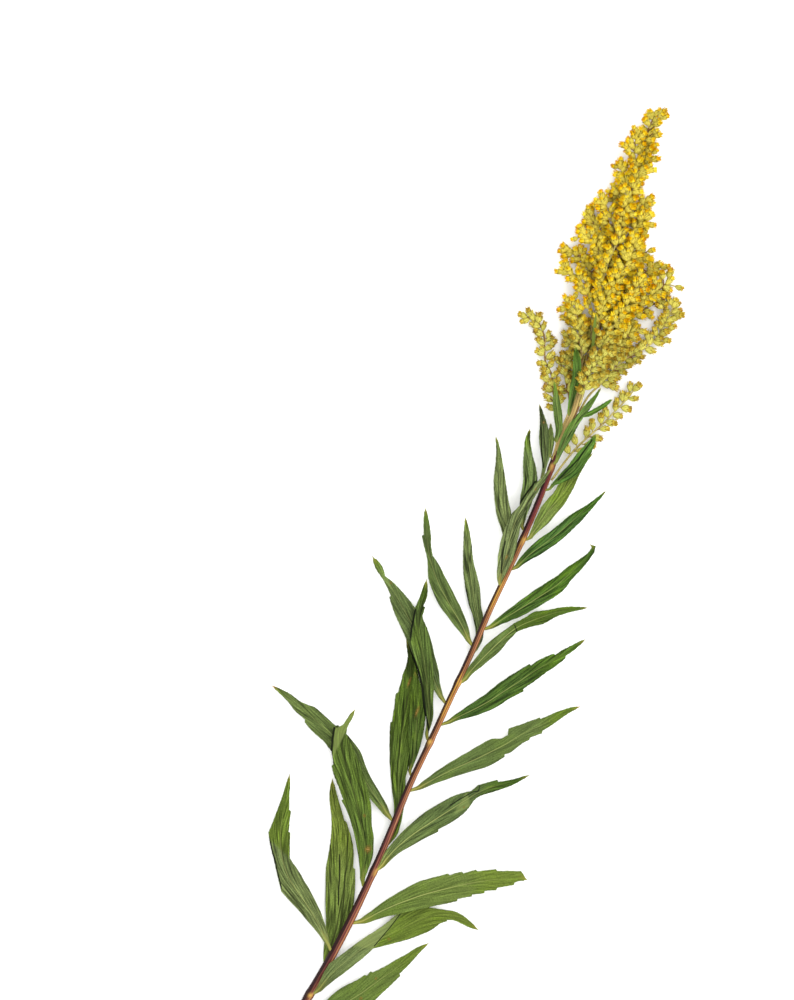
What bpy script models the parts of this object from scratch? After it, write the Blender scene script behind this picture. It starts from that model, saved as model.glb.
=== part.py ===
# A dried, pressed goldenrod stem that lies on its back: woody stem, lance-shaped leaves on both sides,
# and a plume of sprays set with small withered flower heads.
# All measures below are millimetres. X runs across the stem, Y from its cut end to its tip, and Z up.
# The meshes are written in metres, with the origin under the middle of the whole plant.

import bpy
import math
import random

import numpy as np

METRES = 0.001

# The plant is measured from its cut end, and its middle lies here from that end.
MIDDLE_X = 5.56
MIDDLE_Y = 216.7

# Air between a leaf or a twig and the stem that it grows from
SEAT_GAP = 0.3
# Air kept between the heads of one spray and everything of its neighbours
CLEAR_GAP = 0.3
# Air kept between the heads and the surface that the plant lies on
FLOOR_AIR = 0.05

# Stem: places of its middle line, and its radius at some heights
STEM_SIDES = 8
STEM_FOOT_RADIUS = 1.85
# The lowest stretch has one of its flat sides on the surface.
STEM_FLAT_LENGTH = 12.0
FLAT_MIDDLE = STEM_FOOT_RADIUS * math.cos(math.pi / STEM_SIDES)
STEM_ROUTE = [
    (0.0, 0.0, FLAT_MIDDLE), (1.3, STEM_FLAT_LENGTH, FLAT_MIDDLE),
    (3.4, 30.0, 3.1), (6.2, 50.0, 3.9), (8.2, 70.0, 4.5), (9.3, 90.0, 4.9), (9.7, 110.0, 5.2),
    (9.8, 130.0, 5.4), (11.0, 150.0, 5.6), (12.0, 170.0, 5.8),
    (13.0, 190.0, 6.0), (13.4, 210.0, 6.2), (14.5, 230.0, 6.4), (15.2, 250.0, 6.6), (15.2, 270.0, 6.9),
    (14.4, 290.0, 7.3), (15.3, 300.0, 7.6), (14.4, 315.0, 7.9), (12.4, 330.0, 8.1), (9.0, 350.0, 8.2),
    (5.5, 378.0, 8.0), (4.0, 400.0, 7.4),
]
STEM_RADII = [
    (0.0, STEM_FOOT_RADIUS), (STEM_FLAT_LENGTH, STEM_FOOT_RADIUS), (60.0, 1.75), (100.0, 1.5),
    (140.0, 1.35), (290.0, 1.3), (330.0, 1.1), (400.0, 0.8),
]
# Small swellings where the lower leaves left their scars
STEM_SCARS = [33.0, 91.0, 150.0, 178.0, 243.0, 276.0]
SCAR_SWELL = 0.25
SCAR_LENGTH = 2.2

# Leaves: blade thickness, half width at the foot and at the tip
BLADE = 0.7
FOOT_HALF = 0.55
TIP_HALF = 0.3
# Behind a tooth's point the edge falls back by this depth, within this step along the blade.
TOOTH_DEPTH = 0.8
TOOTH_STEP = 0.5
WAVE_COUNT = 2.3
# Size and spacing of the small balls that stand for a blade
LEAF_BEAD_RADIUS = 0.5
LEAF_BEAD_STEP = 1.2

# One row for each leaf: the height on the stem where it grows, the side it grows from (degrees round the
# stem: 0 right, 90 front, 180 left, 270 back), how much its edges lift over its midrib, how much it waves,
# how much higher its left edge is than its right one at some shares of its length, the place of its tip,
# and cross-sections from foot to tip. Each gives its left edge (X, Y), its right edge (X, Y), its height,
# and the edges that have a tooth there, if any. Left and right are those of a look from foot to tip.
LEAVES = {
    "leaf_right_1": dict(at=15.5, side=0, cup=0.9, wave=0.5, tip=(42.4, 71.8, 0.7), sections=[
        (7.0, 24.0, 11.5, 20.5, 2.9), (10.8, 32.2, 18.8, 26.2, 2.9), (14.4, 39.6, 24.6, 32.0, 2.8),
        (18.7, 44.6, 28.8, 37.8, 2.5), (22.3, 49.3, 31.4, 43.6, 2.2, "left"),
        (23.9, 51.5, 33.0, 47.2, 2.1, "left"), (30.0, 57.2, 36.3, 54.3, 1.7, "right"),
        (33.8, 62.1, 37.8, 59.9, 1.4), (38.0, 67.5, 40.3, 66.6, 1.0)]),
    "leaf_right_2": dict(at=33.8, side=40, cup=0.6, wave=0.2, tip=(60.0, 84.3, 0.6),
                         tilt=[(0, 0), (0.1, 0.9), (0.2, 1.6), (0.33, 0.9), (0.45, 0), (1, 0)], sections=[
        (5.7, 42.0, 9.6, 39.8, 5.8), (6.6, 48.4, 14.0, 47.2, 5.5), (10.6, 54.8, 18.2, 54.4, 4.4),
        (14.8, 61.6, 21.4, 60.8, 3.3), (18.6, 67.0, 27.6, 65.3, 2.7), (22.4, 72.6, 34.8, 70.9, 2.1),
        (26.4, 79.2, 40.2, 76.0, 1.6), (34.0, 84.6, 43.8, 81.2, 1.3),
        (39.5, 86.2, 46.0, 82.9, 1.1, "right"), (47.6, 87.9, 49.0, 84.4, 0.9),
        (53.0, 87.2, 54.5, 84.0, 0.8)]),
    "leaf_right_3": dict(at=67.5, side=0, cup=0.9, wave=0.4, tip=(70.9, 111.5, 0.7), sections=[
        (12.4, 71.8, 15.2, 70.2, 5.0), (17.5, 80.0, 20.6, 74.8, 4.7), (22.6, 87.2, 28.4, 80.2, 4.5),
        (28.6, 94.1, 36.0, 85.4, 4.2), (38.6, 101.8, 46.5, 92.5, 3.7, "left", "right"),
        (43.6, 104.7, 51.5, 96.6, 3.2, "left", "right"), (48.8, 107.6, 55.9, 99.8, 2.6, "left", "right"),
        (56.7, 111.0, 60.0, 102.8, 1.9, "left", "right"), (61.6, 112.2, 66.3, 107.7, 1.3, "right"),
        (66.8, 114.0, 68.8, 110.4, 1.0)]),
    "leaf_right_4": dict(at=92, side=35, cup=0.7, wave=0.3, tip=(55.4, 153.1, 0.8),
                         tilt=[(0, 0), (0.1, 0.9), (0.2, 0.5), (0.6, 0), (0.7, 1.4), (0.76, -1.6), (1, 0)],
                         sections=[
        (10.5, 98.2, 13.6, 96.9, 6.4), (12.3, 105.8, 17.2, 103.2, 5.9), (15.8, 114.3, 22.2, 109.6, 5.4),
        (20.8, 123.3, 28.2, 116.6, 4.8, "right"), (25.2, 129.0, 33.2, 123.9, 4.3),
        (31.2, 135.2, 36.4, 130.6, 3.8), (34.8, 137.6, 37.4, 134.2, 3.6), (36.4, 141.0, 38.6, 136.4, 3.4),
        (43.1, 145.9, 45.0, 141.8, 2.6, "left"), (48.6, 148.2, 49.6, 146.0, 1.8)]),
    "leaf_right_5": dict(at=128, side=0, cup=0.9, wave=0.4, tip=(64.3, 187.8, 0.7), sections=[
        (14.6, 134.2, 17.2, 132.6, 5.4), (20.8, 143.9, 25.0, 139.7, 5.2), (27.2, 152.2, 33.0, 146.3, 4.7),
        (31.6, 157.9, 38.8, 151.2, 4.4), (34.4, 161.2, 42.3, 156.2, 4.0, "right"),
        (38.2, 162.6, 43.8, 158.6, 3.8), (40.0, 165.1, 45.4, 161.2, 3.6), (39.4, 167.6, 46.8, 163.4, 3.5),
        (45.4, 172.9, 49.3, 166.5, 3.0, "right"), (49.7, 176.8, 53.2, 171.0, 2.4, "left", "right"),
        (54.9, 181.0, 56.4, 176.6, 1.8), (58.9, 184.5, 59.8, 182.0, 1.2)]),
    "leaf_right_6": dict(at=158.5, side=0, cup=0.9, wave=0.4, tip=(55.6, 214.7, 0.7), sections=[
        (15.6, 163.4, 17.4, 162.0, 5.7), (20.2, 170.6, 24.4, 167.4, 5.4), (25.3, 178.0, 30.3, 173.0, 5.0),
        (28.8, 184.4, 36.0, 180.6, 4.6), (31.5, 188.2, 39.4, 184.6, 4.2, "right"),
        (37.3, 196.1, 42.2, 190.3, 3.6, "left"), (41.0, 199.8, 45.4, 195.6, 3.1),
        (45.2, 203.9, 48.4, 199.9, 2.6, "left"), (48.2, 206.8, 50.5, 203.8, 2.1, "right"),
        (51.5, 210.6, 53.0, 208.8, 1.4)]),
    "leaf_right_7": dict(at=178, side=30, cup=0.6, wave=0.2, tip=(51.7, 227.2, 0.8),
                         tilt=[(0, 0), (0.1, 0.6), (0.3, 0), (0.45, 0.8), (0.55, -0.8), (0.7, 0), (1, 0)],
                         sections=[
        (14.0, 184.6, 16.4, 182.4, 7.1), (15.7, 190.8, 19.8, 188.8, 6.7), (18.0, 198.0, 23.6, 196.0, 6.2),
        (22.0, 204.8, 26.2, 203.4, 5.5), (25.0, 209.4, 27.6, 206.6, 5.0), (28.4, 213.6, 32.4, 211.0, 4.4),
        (31.4, 217.3, 36.6, 213.8, 3.9), (36.2, 220.0, 39.4, 217.5, 3.2), (41.0, 223.2, 43.0, 220.9, 2.4),
        (46.4, 225.6, 47.6, 224.2, 1.5)]),
    "leaf_right_8": dict(at=202.5, side=0, cup=0.9, wave=0.4, tip=(41.9, 252.2, 1.5), sections=[
        (17.6, 208.8, 20.0, 206.8, 6.1), (22.9, 217.8, 27.2, 214.0, 5.6), (28.2, 226.4, 34.2, 222.8, 4.9),
        (33.0, 232.9, 38.8, 229.6, 4.2), (37.9, 241.1, 40.9, 236.4, 3.4),
        (41.6, 246.4, 43.2, 242.2, 2.6), (43.2, 250.2, 45.3, 249.6, 1.9), (43.4, 251.2, 44.8, 252.3, 1.7)]),
    "leaf_right_9": dict(at=230, side=0, cup=0.8, wave=0.4, tip=(40.1, 275.7, 1.0), sections=[
        (16.9, 235.4, 19.6, 234.2, 6.2), (20.2, 243.9, 25.0, 241.2, 5.7), (25.0, 251.7, 30.2, 249.2, 4.9),
        (27.8, 256.6, 32.8, 254.6, 4.4), (30.3, 261.2, 35.2, 260.0, 3.7), (34.6, 266.7, 37.2, 265.8, 2.7),
        (37.8, 271.8, 39.0, 271.0, 1.8)]),
    "leaf_right_10": dict(at=243.5, side=0, cup=0.7, wave=0.3, tip=(29.0, 288.0, 2.0), sections=[
        (16.9, 248.5, 19.4, 247.4, 6.2), (17.0, 255.0, 22.6, 253.8, 6.0), (17.6, 260.6, 24.6, 259.8, 5.6),
        (19.6, 265.8, 26.2, 265.6, 5.0), (20.8, 271.5, 26.9, 271.2, 4.3), (22.4, 277.0, 27.1, 277.2, 3.6),
        (25.4, 282.6, 27.9, 282.8, 2.8)]),
    "leaf_right_11": dict(at=266, side=20, cup=1.1, wave=0.2, tip=(27.0, 295.8, 5.8), sections=[
        (17.9, 270.4, 19.2, 269.6, 7.9), (19.5, 275.2, 22.4, 272.4, 7.9), (21.0, 279.0, 26.2, 276.4, 7.6),
        (22.2, 283.4, 27.5, 282.2, 7.3), (23.6, 287.6, 28.2, 287.2, 6.8), (25.2, 291.8, 28.2, 291.6, 6.3)]),
    "leaf_right_12": dict(at=277.5, side=62, cup=0.4, wave=0.2, tip=(21.7, 314.6, 9.3), sections=[
        (14.6, 284.0, 17.0, 283.4, 9.7), (14.2, 290.4, 18.2, 290.0, 10.1), (15.2, 296.0, 18.7, 295.6, 10.3),
        (16.6, 300.6, 19.4, 299.6, 10.2), (18.3, 305.6, 20.8, 304.8, 10.0),
        (20.0, 310.0, 21.5, 309.6, 9.7)]),
    "leaf_right_13": dict(at=296.5, side=0, cup=0.2, wave=0.1, tip=(28.0, 311.8, 5.8), sections=[
        (18.6, 301.5, 19.6, 300.4, 7.2), (21.2, 304.0, 22.2, 302.0, 6.9), (23.4, 306.8, 25.0, 305.6, 6.5),
        (25.6, 309.6, 26.8, 308.4, 6.1)]),
    "leaf_left_1": dict(at=53.5, side=165, cup=0.8, wave=0.3, tip=(-38.6, 115.8, 0.6), sections=[
        (1.6, 55.4, 2.6, 57.6, 4.9), (-4.0, 58.9, -1.0, 62.6, 4.7), (-10.5, 62.4, -7.2, 69.3, 4.4),
        (-17.0, 65.6, -13.9, 74.8, 4.1), (-23.4, 68.6, -20.0, 79.5, 3.8), (-29.4, 77.2, -25.3, 82.9, 3.4),
        (-34.2, 83.8, -27.2, 87.8, 3.0), (-37.6, 89.5, -29.0, 92.9, 2.6, "right"),
        (-37.7, 100.2, -32.2, 101.3, 1.9, "right"), (-38.0, 107.0, -35.3, 107.6, 1.2)]),
    "leaf_left_2": dict(at=46, side=262, cup=0.5, wave=0.3, tip=(-21.4, 120.4, 0.6), sections=[
        (2.6, 51.5, 7.0, 52.5, 1.3), (-0.4, 61.5, 8.4, 62.5, 1.1), (-4.2, 70.6, 7.2, 73.0, 1.2),
        (-7.4, 78.4, 5.0, 81.0, 1.3), (-10.0, 86.2, 2.0, 88.8, 1.3, "right"),
        (-13.0, 99.0, -3.4, 99.0, 1.2), (-16.0, 106.2, -8.8, 105.6, 1.1, "right"),
        (-19.2, 112.2, -14.6, 112.0, 0.9)]),
    "leaf_left_3": dict(at=83.5, side=180, cup=0.7, wave=0.3, tip=(-23.2, 151.6, 4.1),
                        tilt=[(0, 0), (0.7, 0), (0.8, 1.4), (0.86, -1.0), (1, 0)], sections=[
        (4.4, 88.0, 7.0, 89.6, 5.4), (0.6, 95.2, 6.6, 97.0, 5.5), (-4.2, 102.6, 4.4, 103.4, 5.5),
        (-9.6, 109.4, 1.0, 109.8, 5.5), (-14.2, 113.6, -3.0, 118.0, 5.4, "left"),
        (-20.1, 121.0, -8.0, 124.8, 5.2), (-23.6, 125.4, -13.6, 131.4, 5.1, "left"),
        (-27.0, 133.6, -19.6, 137.2, 4.9), (-28.6, 139.8, -22.8, 140.2, 4.7),
        (-25.6, 143.0, -23.4, 143.0, 4.5), (-24.8, 147.4, -22.9, 147.4, 4.3)]),
    "leaf_left_4": dict(at=113.7, side=180, cup=0.6, wave=0.3, tip=(-59.8, 147.2, 0.6), sections=[
        (3.6, 115.0, 5.2, 117.8, 3.9), (-2.9, 118.4, -0.2, 122.2, 3.4), (-8.6, 121.8, -5.8, 126.6, 3.0),
        (-14.5, 124.8, -10.2, 130.6, 2.6), (-20.4, 128.0, -14.8, 135.6, 2.2),
        (-26.2, 131.2, -20.6, 139.0, 1.9), (-30.8, 133.6, -27.4, 142.2, 1.6, "right"),
        (-37.4, 136.2, -33.8, 143.6, 1.4), (-40.8, 138.0, -39.6, 145.5, 1.2, "left"),
        (-46.2, 140.8, -45.4, 145.4, 1.0), (-51.2, 143.6, -51.4, 146.8, 0.8)]),
    "leaf_left_5": dict(at=103, side=305, cup=0.4, wave=0.2, tip=(-14.8, 187.0, 0.6), sections=[
        (9.4, 109.0, 12.8, 109.0, 2.5), (7.8, 117.8, 11.6, 118.6, 2.1), (4.4, 124.2, 9.4, 126.4, 1.8),
        (0.8, 131.2, 7.2, 132.6, 1.6), (-3.0, 139.4, 6.4, 139.8, 1.5),
        (-7.6, 151.5, 4.4, 150.6, 1.4, "left"), (-9.9, 163.6, 0.4, 165.0, 1.3, "left"),
        (-10.1, 172.0, -3.2, 172.6, 1.2), (-10.8, 179.0, -7.6, 179.8, 1.0)]),
    "leaf_left_6": dict(at=150.5, side=180, cup=0.8, wave=0.3, tip=(-15.9, 213.0, 4.6), sections=[
        (6.4, 157.3, 8.4, 159.4, 5.8), (1.8, 165.2, 5.8, 166.8, 5.6), (-2.6, 172.2, 2.8, 174.6, 5.4),
        (-7.2, 179.0, -0.8, 182.4, 5.2), (-11.0, 183.8, -4.2, 188.6, 5.1),
        (-13.6, 188.4, -8.2, 194.4, 5.0, "right"), (-15.0, 194.6, -11.8, 197.8, 4.9),
        (-15.9, 200.0, -12.0, 201.8, 4.8, "right"), (-15.9, 205.6, -12.9, 205.8, 4.7)]),
    "leaf_left_7": dict(at=167.5, side=190, cup=0.6, wave=0.3, tip=(-40.8, 213.4, 0.6), sections=[
        (4.4, 170.9, 6.4, 173.6, 3.6), (-1.4, 174.4, 2.4, 180.2, 3.2), (-7.0, 179.0, -2.0, 186.2, 2.9),
        (-12.4, 184.6, -6.6, 192.4, 2.7), (-17.0, 188.8, -11.8, 197.2, 2.5),
        (-22.0, 193.6, -18.0, 201.2, 2.3), (-27.6, 199.8, -22.6, 203.8, 2.0, "left"),
        (-30.6, 204.0, -28.2, 206.3, 1.7), (-33.0, 206.0, -32.4, 207.6, 1.4),
        (-36.8, 208.5, -35.2, 210.9, 1.1)]),
    "leaf_left_8": dict(at=194.3, side=180, cup=0.7, wave=0.3, tip=(-27.6, 240.5, 0.6), sections=[
        (5.8, 197.2, 7.6, 201.2, 5.6), (-0.6, 200.8, 2.6, 206.4, 5.0), (-6.4, 204.4, -3.5, 212.0, 4.2),
        (-11.4, 208.8, -9.4, 217.0, 3.3), (-15.4, 213.6, -13.8, 220.8, 2.6),
        (-18.5, 220.3, -17.2, 223.0, 2.2), (-21.9, 224.9, -19.4, 226.8, 1.9),
        (-24.5, 229.0, -21.0, 230.3, 1.6, "left"), (-26.2, 234.8, -23.6, 235.2, 1.1)]),
    "leaf_left_9": dict(at=191, side=305, cup=0.5, wave=0.3, tip=(-10.6, 243.2, 0.6), sections=[
        (12.2, 198.4, 15.2, 198.8, 3.0), (8.6, 204.6, 12.6, 206.2, 2.5), (4.4, 209.8, 9.6, 210.8, 2.2),
        (0.6, 215.4, 6.8, 216.8, 1.9), (-2.6, 221.2, 2.6, 223.0, 1.7), (-5.4, 227.6, -1.0, 228.0, 1.5),
        (-7.8, 234.4, -4.4, 234.6, 1.2)]),
    "leaf_left_10": dict(at=222, side=130, cup=0.4, wave=0.2, tip=(14.8, 275.4, 10.0), sections=[
        (9.4, 229.0, 14.2, 229.4, 8.6), (7.2, 237.0, 14.2, 237.0, 8.9), (6.4, 244.4, 13.0, 244.0, 9.2),
        (6.8, 251.4, 11.8, 251.6, 9.6), (8.6, 256.6, 12.0, 256.2, 9.8), (10.2, 261.8, 13.0, 261.4, 9.9),
        (11.6, 267.6, 14.0, 266.8, 10.0), (13.2, 271.8, 14.9, 271.0, 10.0)]),
    "leaf_left_11": dict(at=233, side=180, cup=0.8, wave=0.3, tip=(-11.6, 279.6, 0.7), sections=[
        (9.6, 237.6, 11.6, 240.4, 5.8), (4.8, 244.6, 9.2, 247.2, 5.4), (1.6, 248.2, 6.6, 251.8, 4.9),
        (-2.0, 254.4, 3.2, 257.0, 4.2), (-5.2, 261.6, -0.6, 263.4, 3.2), (-7.6, 269.4, -4.2, 269.6, 2.2),
        (-9.6, 275.4, -8.2, 275.8, 1.3)]),
    "leaf_left_12": dict(at=247, side=180, cup=0.6, wave=0.3, tip=(0.7, 287.8, 1.6), sections=[
        (10.2, 252.0, 13.0, 253.4, 6.4), (7.6, 259.4, 12.9, 261.0, 6.2), (6.0, 266.6, 11.9, 268.2, 5.6),
        (3.8, 272.0, 8.8, 273.8, 4.8), (1.9, 277.4, 5.4, 278.4, 3.8), (0.5, 283.0, 2.4, 283.6, 2.6)]),
    "leaf_left_13": dict(at=269, side=180, cup=0.6, wave=0.3, tip=(0.5, 298.6, 2.6), sections=[
        (11.0, 275.4, 12.9, 277.0, 6.6), (8.6, 279.6, 12.6, 282.0, 5.9), (5.6, 285.4, 10.2, 287.0, 5.4),
        (3.6, 291.2, 7.4, 291.0, 4.2), (2.0, 295.0, 4.2, 295.0, 3.3)]),
    "leaf_left_14": dict(at=279.5, side=155, cup=0.15, wave=0.1, tip=(7.8, 292.8, 7.3), sections=[
        (9.6, 286.4, 11.6, 287.4, 7.9), (8.2, 289.6, 9.9, 290.2, 7.6)]),
    "leaf_left_15": dict(at=286, side=150, cup=0.6, wave=0.2, tip=(2.4, 310.0, 8.3), sections=[
        (10.6, 291.0, 13.2, 292.4, 9.3), (7.8, 296.0, 11.4, 297.0, 9.3), (5.4, 301.0, 8.6, 301.8, 9.0),
        (3.8, 305.6, 5.8, 305.8, 8.7)]),
    "leaf_left_16": dict(at=134, side=185, cup=0.3, wave=0.15, tip=(-6.0, 175.2, 2.3), sections=[
        (5.6, 141.0, 8.2, 142.4, 4.0), (2.4, 147.6, 7.6, 149.4, 3.5), (-0.6, 155.0, 6.2, 156.2, 3.3),
        (-3.0, 162.4, 3.8, 163.0, 3.1), (-5.0, 169.0, -0.4, 169.2, 2.7)]),
    "bract_leaf": dict(at=298.5, side=150, cup=0.4, wave=0.2, tip=(5.3, 326.6, 10.2), sections=[
        (9.8, 308.6, 12.8, 309.4, 9.8), (8.2, 316.0, 11.6, 317.6, 10.2), (6.2, 321.6, 8.8, 323.0, 10.2)]),
}

# Flower heads: a bell of overlapping bracts, widest near the rim, with withered florets above it
HEAD_SIDES = 4
HEAD_LENGTH = 6.0
HEAD_RADIUS = 2.35
HEAD_SHOULDER = 0.42
HEAD_RIM = 0.78
HEAD_SHOULDER_RADIUS = 0.62
STALK_RADIUS = 0.42
# A head's own stalk that is longer than this has a ring where the bell starts.
LONG_STALK = 1.4
# A head's size and the length of its stalk differ by these factors.
HEAD_SIZES = (0.88, 1.06)
STALK_FACTORS = (0.4, 1.5)
# Degrees between the twig and a head on its side or at its tip
SIDE_SPREAD = (34, 66)
TIP_SPREAD = (0, 14)
# Small balls stand for a head where it is kept clear of others: one for each corner of its rim, some along
# its middle line (share of its length, share of its radius), and one for its bell.
CORNER_BEAD = 0.5
HEAD_BEADS = ((0.25, 0.30), (0.44, 0.56), (0.78, 0.70), (0.93, 0.25))
BELL_BEAD = (0.62, 0.74)
STALK_BEAD_STEP = 0.7
# How far a head's root lies behind the twig's middle line, along the twig and at its tip
ROOT_SINK = 0.2
TIP_SINK = 1.0
# Twigs are round stalks that taper to their tips.
TWIG_SIDES = 4
TWIG_FOOT_RADIUS = 0.62
TWIG_TIP_RADIUS = 0.42
TWIG_STEP = 6.5
TWIG_BEAD_STEP = 0.8
# No head of a twig reaches further from it than this.
REACH = 14.0
# How many ways a head is turned before its place is left empty
TURNS_TRIED = 40
# Share of their joined radii that two heads of one spray stay apart
OWN_SPACING = 0.98

# One row for each spray: the height on the stem where it grows, the side it grows from, the share of its
# twig that is bare, the distance between its heads along the twig, the length of the heads' own stalks,
# the lowest and highest lean of its heads out of the flat in degrees, and the places that its twig runs
# through. A spray without a side goes on from the end of the stem.
SPRAYS = {
    "spray_low_left": dict(at=289, side=200, bare=0.2, step=2.0, stalk=0.3, lean=(-20, 45),
                           route=[(8, 299, 6.0), (3, 307, 5.2), (0.5, 312, 4.6), (-3.8, 316, 4.0),
                                  (-6.3, 321, 3.6), (-8.5, 326, 3.4), (-13, 330.3, 3.3),
                                  (-18.4, 330.6, 3.2)]),
    "spray_low_right": dict(at=272, side=345, bare=0.24, step=2.3, stalk=1.2, lean=(-20, 40),
                            route=[(19, 279, 5.3), (21.5, 287, 4.4), (25, 294.5, 3.8), (28.5, 301.5, 3.5),
                                   (31, 308, 3.4), (33.5, 314, 3.3), (34.8, 318.5, 3.3)]),
    "spray_left_0": dict(at=301, side=205, bare=0.35, step=2.0, stalk=0.0, lean=(-25, 45),
                         route=[(10, 307.5, 5.8), (6.6, 312.5, 4.4), (4.6, 317, 3.7), (3.8, 320, 3.5)]),
    "spray_left_1": dict(at=311, side=235, bare=0.25, step=2.1, stalk=0.0, lean=(-20, 40),
                         route=[(9.6, 319, 5.0), (6.2, 325, 3.8), (2.6, 329, 3.4)]),
    "spray_left_2": dict(at=317, side=180, bare=0.2, step=2.1, stalk=0.0, lean=(-25, 45),
                         route=[(8.2, 326, 8.4), (3.6, 334.5, 8.4), (-0.5, 340.5, 8.2),
                                (-4.0, 342.8, 8.0)]),
    "spray_left_3": dict(at=323, side=235, bare=0.25, step=2.1, stalk=0.0, lean=(-20, 40),
                         route=[(9, 330.5, 5.2), (5, 335.3, 3.9), (1.2, 337.3, 3.5)]),
    "spray_left_4": dict(at=333, side=180, bare=0.16, step=2.1, stalk=0.0, lean=(-25, 45),
                         route=[(6.5, 342, 8.6), (1.5, 349, 8.5), (-4, 353.3, 8.2), (-9.3, 354, 8.0)]),
    "spray_left_5": dict(at=342, side=235, bare=0.16, step=2.1, stalk=0.0, lean=(-20, 40),
                         route=[(5.5, 351, 5.2), (0, 357.5, 3.9), (-6, 361.5, 3.5), (-12.5, 362.8, 3.3)]),
    "spray_left_6": dict(at=350, side=180, bare=0.14, step=2.1, stalk=0.0, lean=(-25, 45),
                         route=[(4, 360, 8.6), (-0.5, 367.3, 8.4), (-4.5, 370.5, 8.2), (-8.8, 371.6, 8.0)]),
    "spray_left_7": dict(at=360, side=235, bare=0.14, step=2.1, stalk=0.0, lean=(-20, 40),
                         route=[(2.5, 369, 5.2), (-2, 374.5, 3.9), (-5.5, 377.5, 3.5), (-9.2, 378.6, 3.3)]),
    "spray_left_8": dict(at=368, side=180, bare=0.12, step=2.1, stalk=0.0, lean=(-25, 45),
                         route=[(2.2, 377.5, 8.3), (-1.5, 383.5, 8.1), (-5.6, 386.4, 7.8)]),
    "spray_left_9": dict(at=379, side=235, bare=0.16, step=2.1, stalk=0.0, lean=(-20, 40),
                         route=[(1.8, 386.5, 5.0), (-0.8, 391, 3.8), (-3.6, 393.8, 3.4)]),
    "spray_left_10": dict(at=386, side=180, bare=0.12, step=2.1, stalk=0.0, lean=(-25, 40),
                          route=[(1.0, 395, 7.2), (-1.8, 400, 6.5), (-5.2, 403, 6.0)]),
    "spray_left_11": dict(at=394, side=165, bare=0.3, step=2.0, stalk=0.0, lean=(-30, 45),
                          route=[(1.6, 403.5, 8.6), (-1.6, 409.5, 8.9), (-3.4, 415, 8.4),
                                 (-3.8, 418.5, 8.0)]),
    "spray_right_1": dict(at=303, side=335, bare=0.2, step=2.4, stalk=0.4, lean=(-20, 35),
                          route=[(18.2, 309.5, 6.3), (20.6, 315, 5.3), (22.8, 321, 4.4), (24.8, 326, 3.9),
                                 (27.6, 331, 3.6), (31.5, 335.5, 3.4), (35, 341, 3.3), (36.6, 349, 3.3),
                                 (37.3, 357.2, 3.3)]),
    "spray_right_2": dict(at=313, side=0, bare=0.16, step=2.1, stalk=0.0, lean=(-25, 45),
                          route=[(18, 322, 8.2), (20.3, 329.5, 8.2), (22.8, 336, 8.0), (25, 341.2, 7.8)]),
    "spray_right_3": dict(at=320, side=300, bare=0.14, step=2.1, stalk=0.0, lean=(-20, 40),
                          route=[(16.4, 329, 5.2), (19.5, 337, 3.9), (22.5, 345, 3.5), (26, 351.5, 3.4),
                                 (30, 356.5, 3.4), (33, 360, 3.4)]),
    "spray_right_4": dict(at=327, side=0, bare=0.12, step=2.1, stalk=0.0, lean=(-25, 45),
                          route=[(16, 338, 8.6), (19.3, 346.5, 8.4), (23.5, 354, 8.2), (28, 360.5, 8.0),
                                 (31, 365.5, 7.8)]),
    "spray_right_5": dict(at=338, side=300, bare=0.12, step=2.1, stalk=0.0, lean=(-20, 40),
                          route=[(13.6, 350, 5.2), (16.5, 358, 3.9), (20, 365, 3.5), (23.6, 370, 3.4)]),
    "spray_right_6": dict(at=348, side=0, bare=0.12, step=2.1, stalk=0.0, lean=(-25, 45),
                          route=[(12.4, 360, 8.7), (14.6, 368, 8.5), (17, 374.6, 8.2)]),
    "spray_right_7": dict(at=358, side=300, bare=0.12, step=2.1, stalk=0.0, lean=(-20, 40),
                          route=[(9.5, 368, 5.2), (12, 375, 3.9), (13.6, 380.8, 3.5)]),
    "spray_right_8": dict(at=367, side=0, bare=0.12, step=2.1, stalk=0.0, lean=(-25, 45),
                          route=[(8.4, 377.5, 8.4), (10.4, 383.5, 8.2), (12.3, 387.2, 8.0)]),
    "spray_right_9": dict(at=379, side=330, bare=0.12, step=2.1, stalk=0.0, lean=(-25, 45),
                          route=[(7.4, 387, 6.4), (9.0, 391, 6.0), (10.2, 394, 5.8)]),
    "spray_front_0": dict(at=305, side=65, bare=0.2, step=2.1, stalk=0.0, lean=(-15, 40),
                          route=[(15.4, 313, 11.0), (15.2, 320, 12.0), (17.6, 327, 12.4)]),
    "spray_front_1": dict(at=321, side=70, bare=0.12, step=2.1, stalk=0.0, lean=(-20, 40),
                          route=[(15.6, 333, 12.0), (17.2, 342, 13.0), (18.8, 351, 13.0),
                                 (19.8, 361, 12.8)]),
    "spray_front_2": dict(at=329, side=95, bare=0.12, step=2.1, stalk=0.0, lean=(-20, 40),
                          route=[(10.6, 340, 12.2), (9.8, 350, 13.0), (11.2, 360, 13.0), (12.4, 369, 13.0),
                                 (12.2, 376, 12.8)]),
    "spray_front_3": dict(at=344, side=115, bare=0.12, step=2.1, stalk=0.0, lean=(-20, 40),
                          route=[(6.4, 353, 12.0), (4.8, 362, 13.0), (5.0, 371, 13.0), (5.2, 378, 12.6)]),
    "spray_front_4": dict(at=372, side=100, bare=0.14, step=2.1, stalk=0.0, lean=(-20, 40),
                          route=[(3.9, 382, 11.4), (3.0, 390, 12.2), (3.0, 398, 12.2), (2.4, 405, 11.6)]),
    "spray_top": dict(at=400, side=None, bare=0.04, step=1.6, stalk=0.5, lean=(-60, 60),
                      route=[(3.0, 409, 6.8), (1.0, 416, 6.2), (-0.4, 423, 5.4), (0, 428.4, 4.6)]),
}

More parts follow.
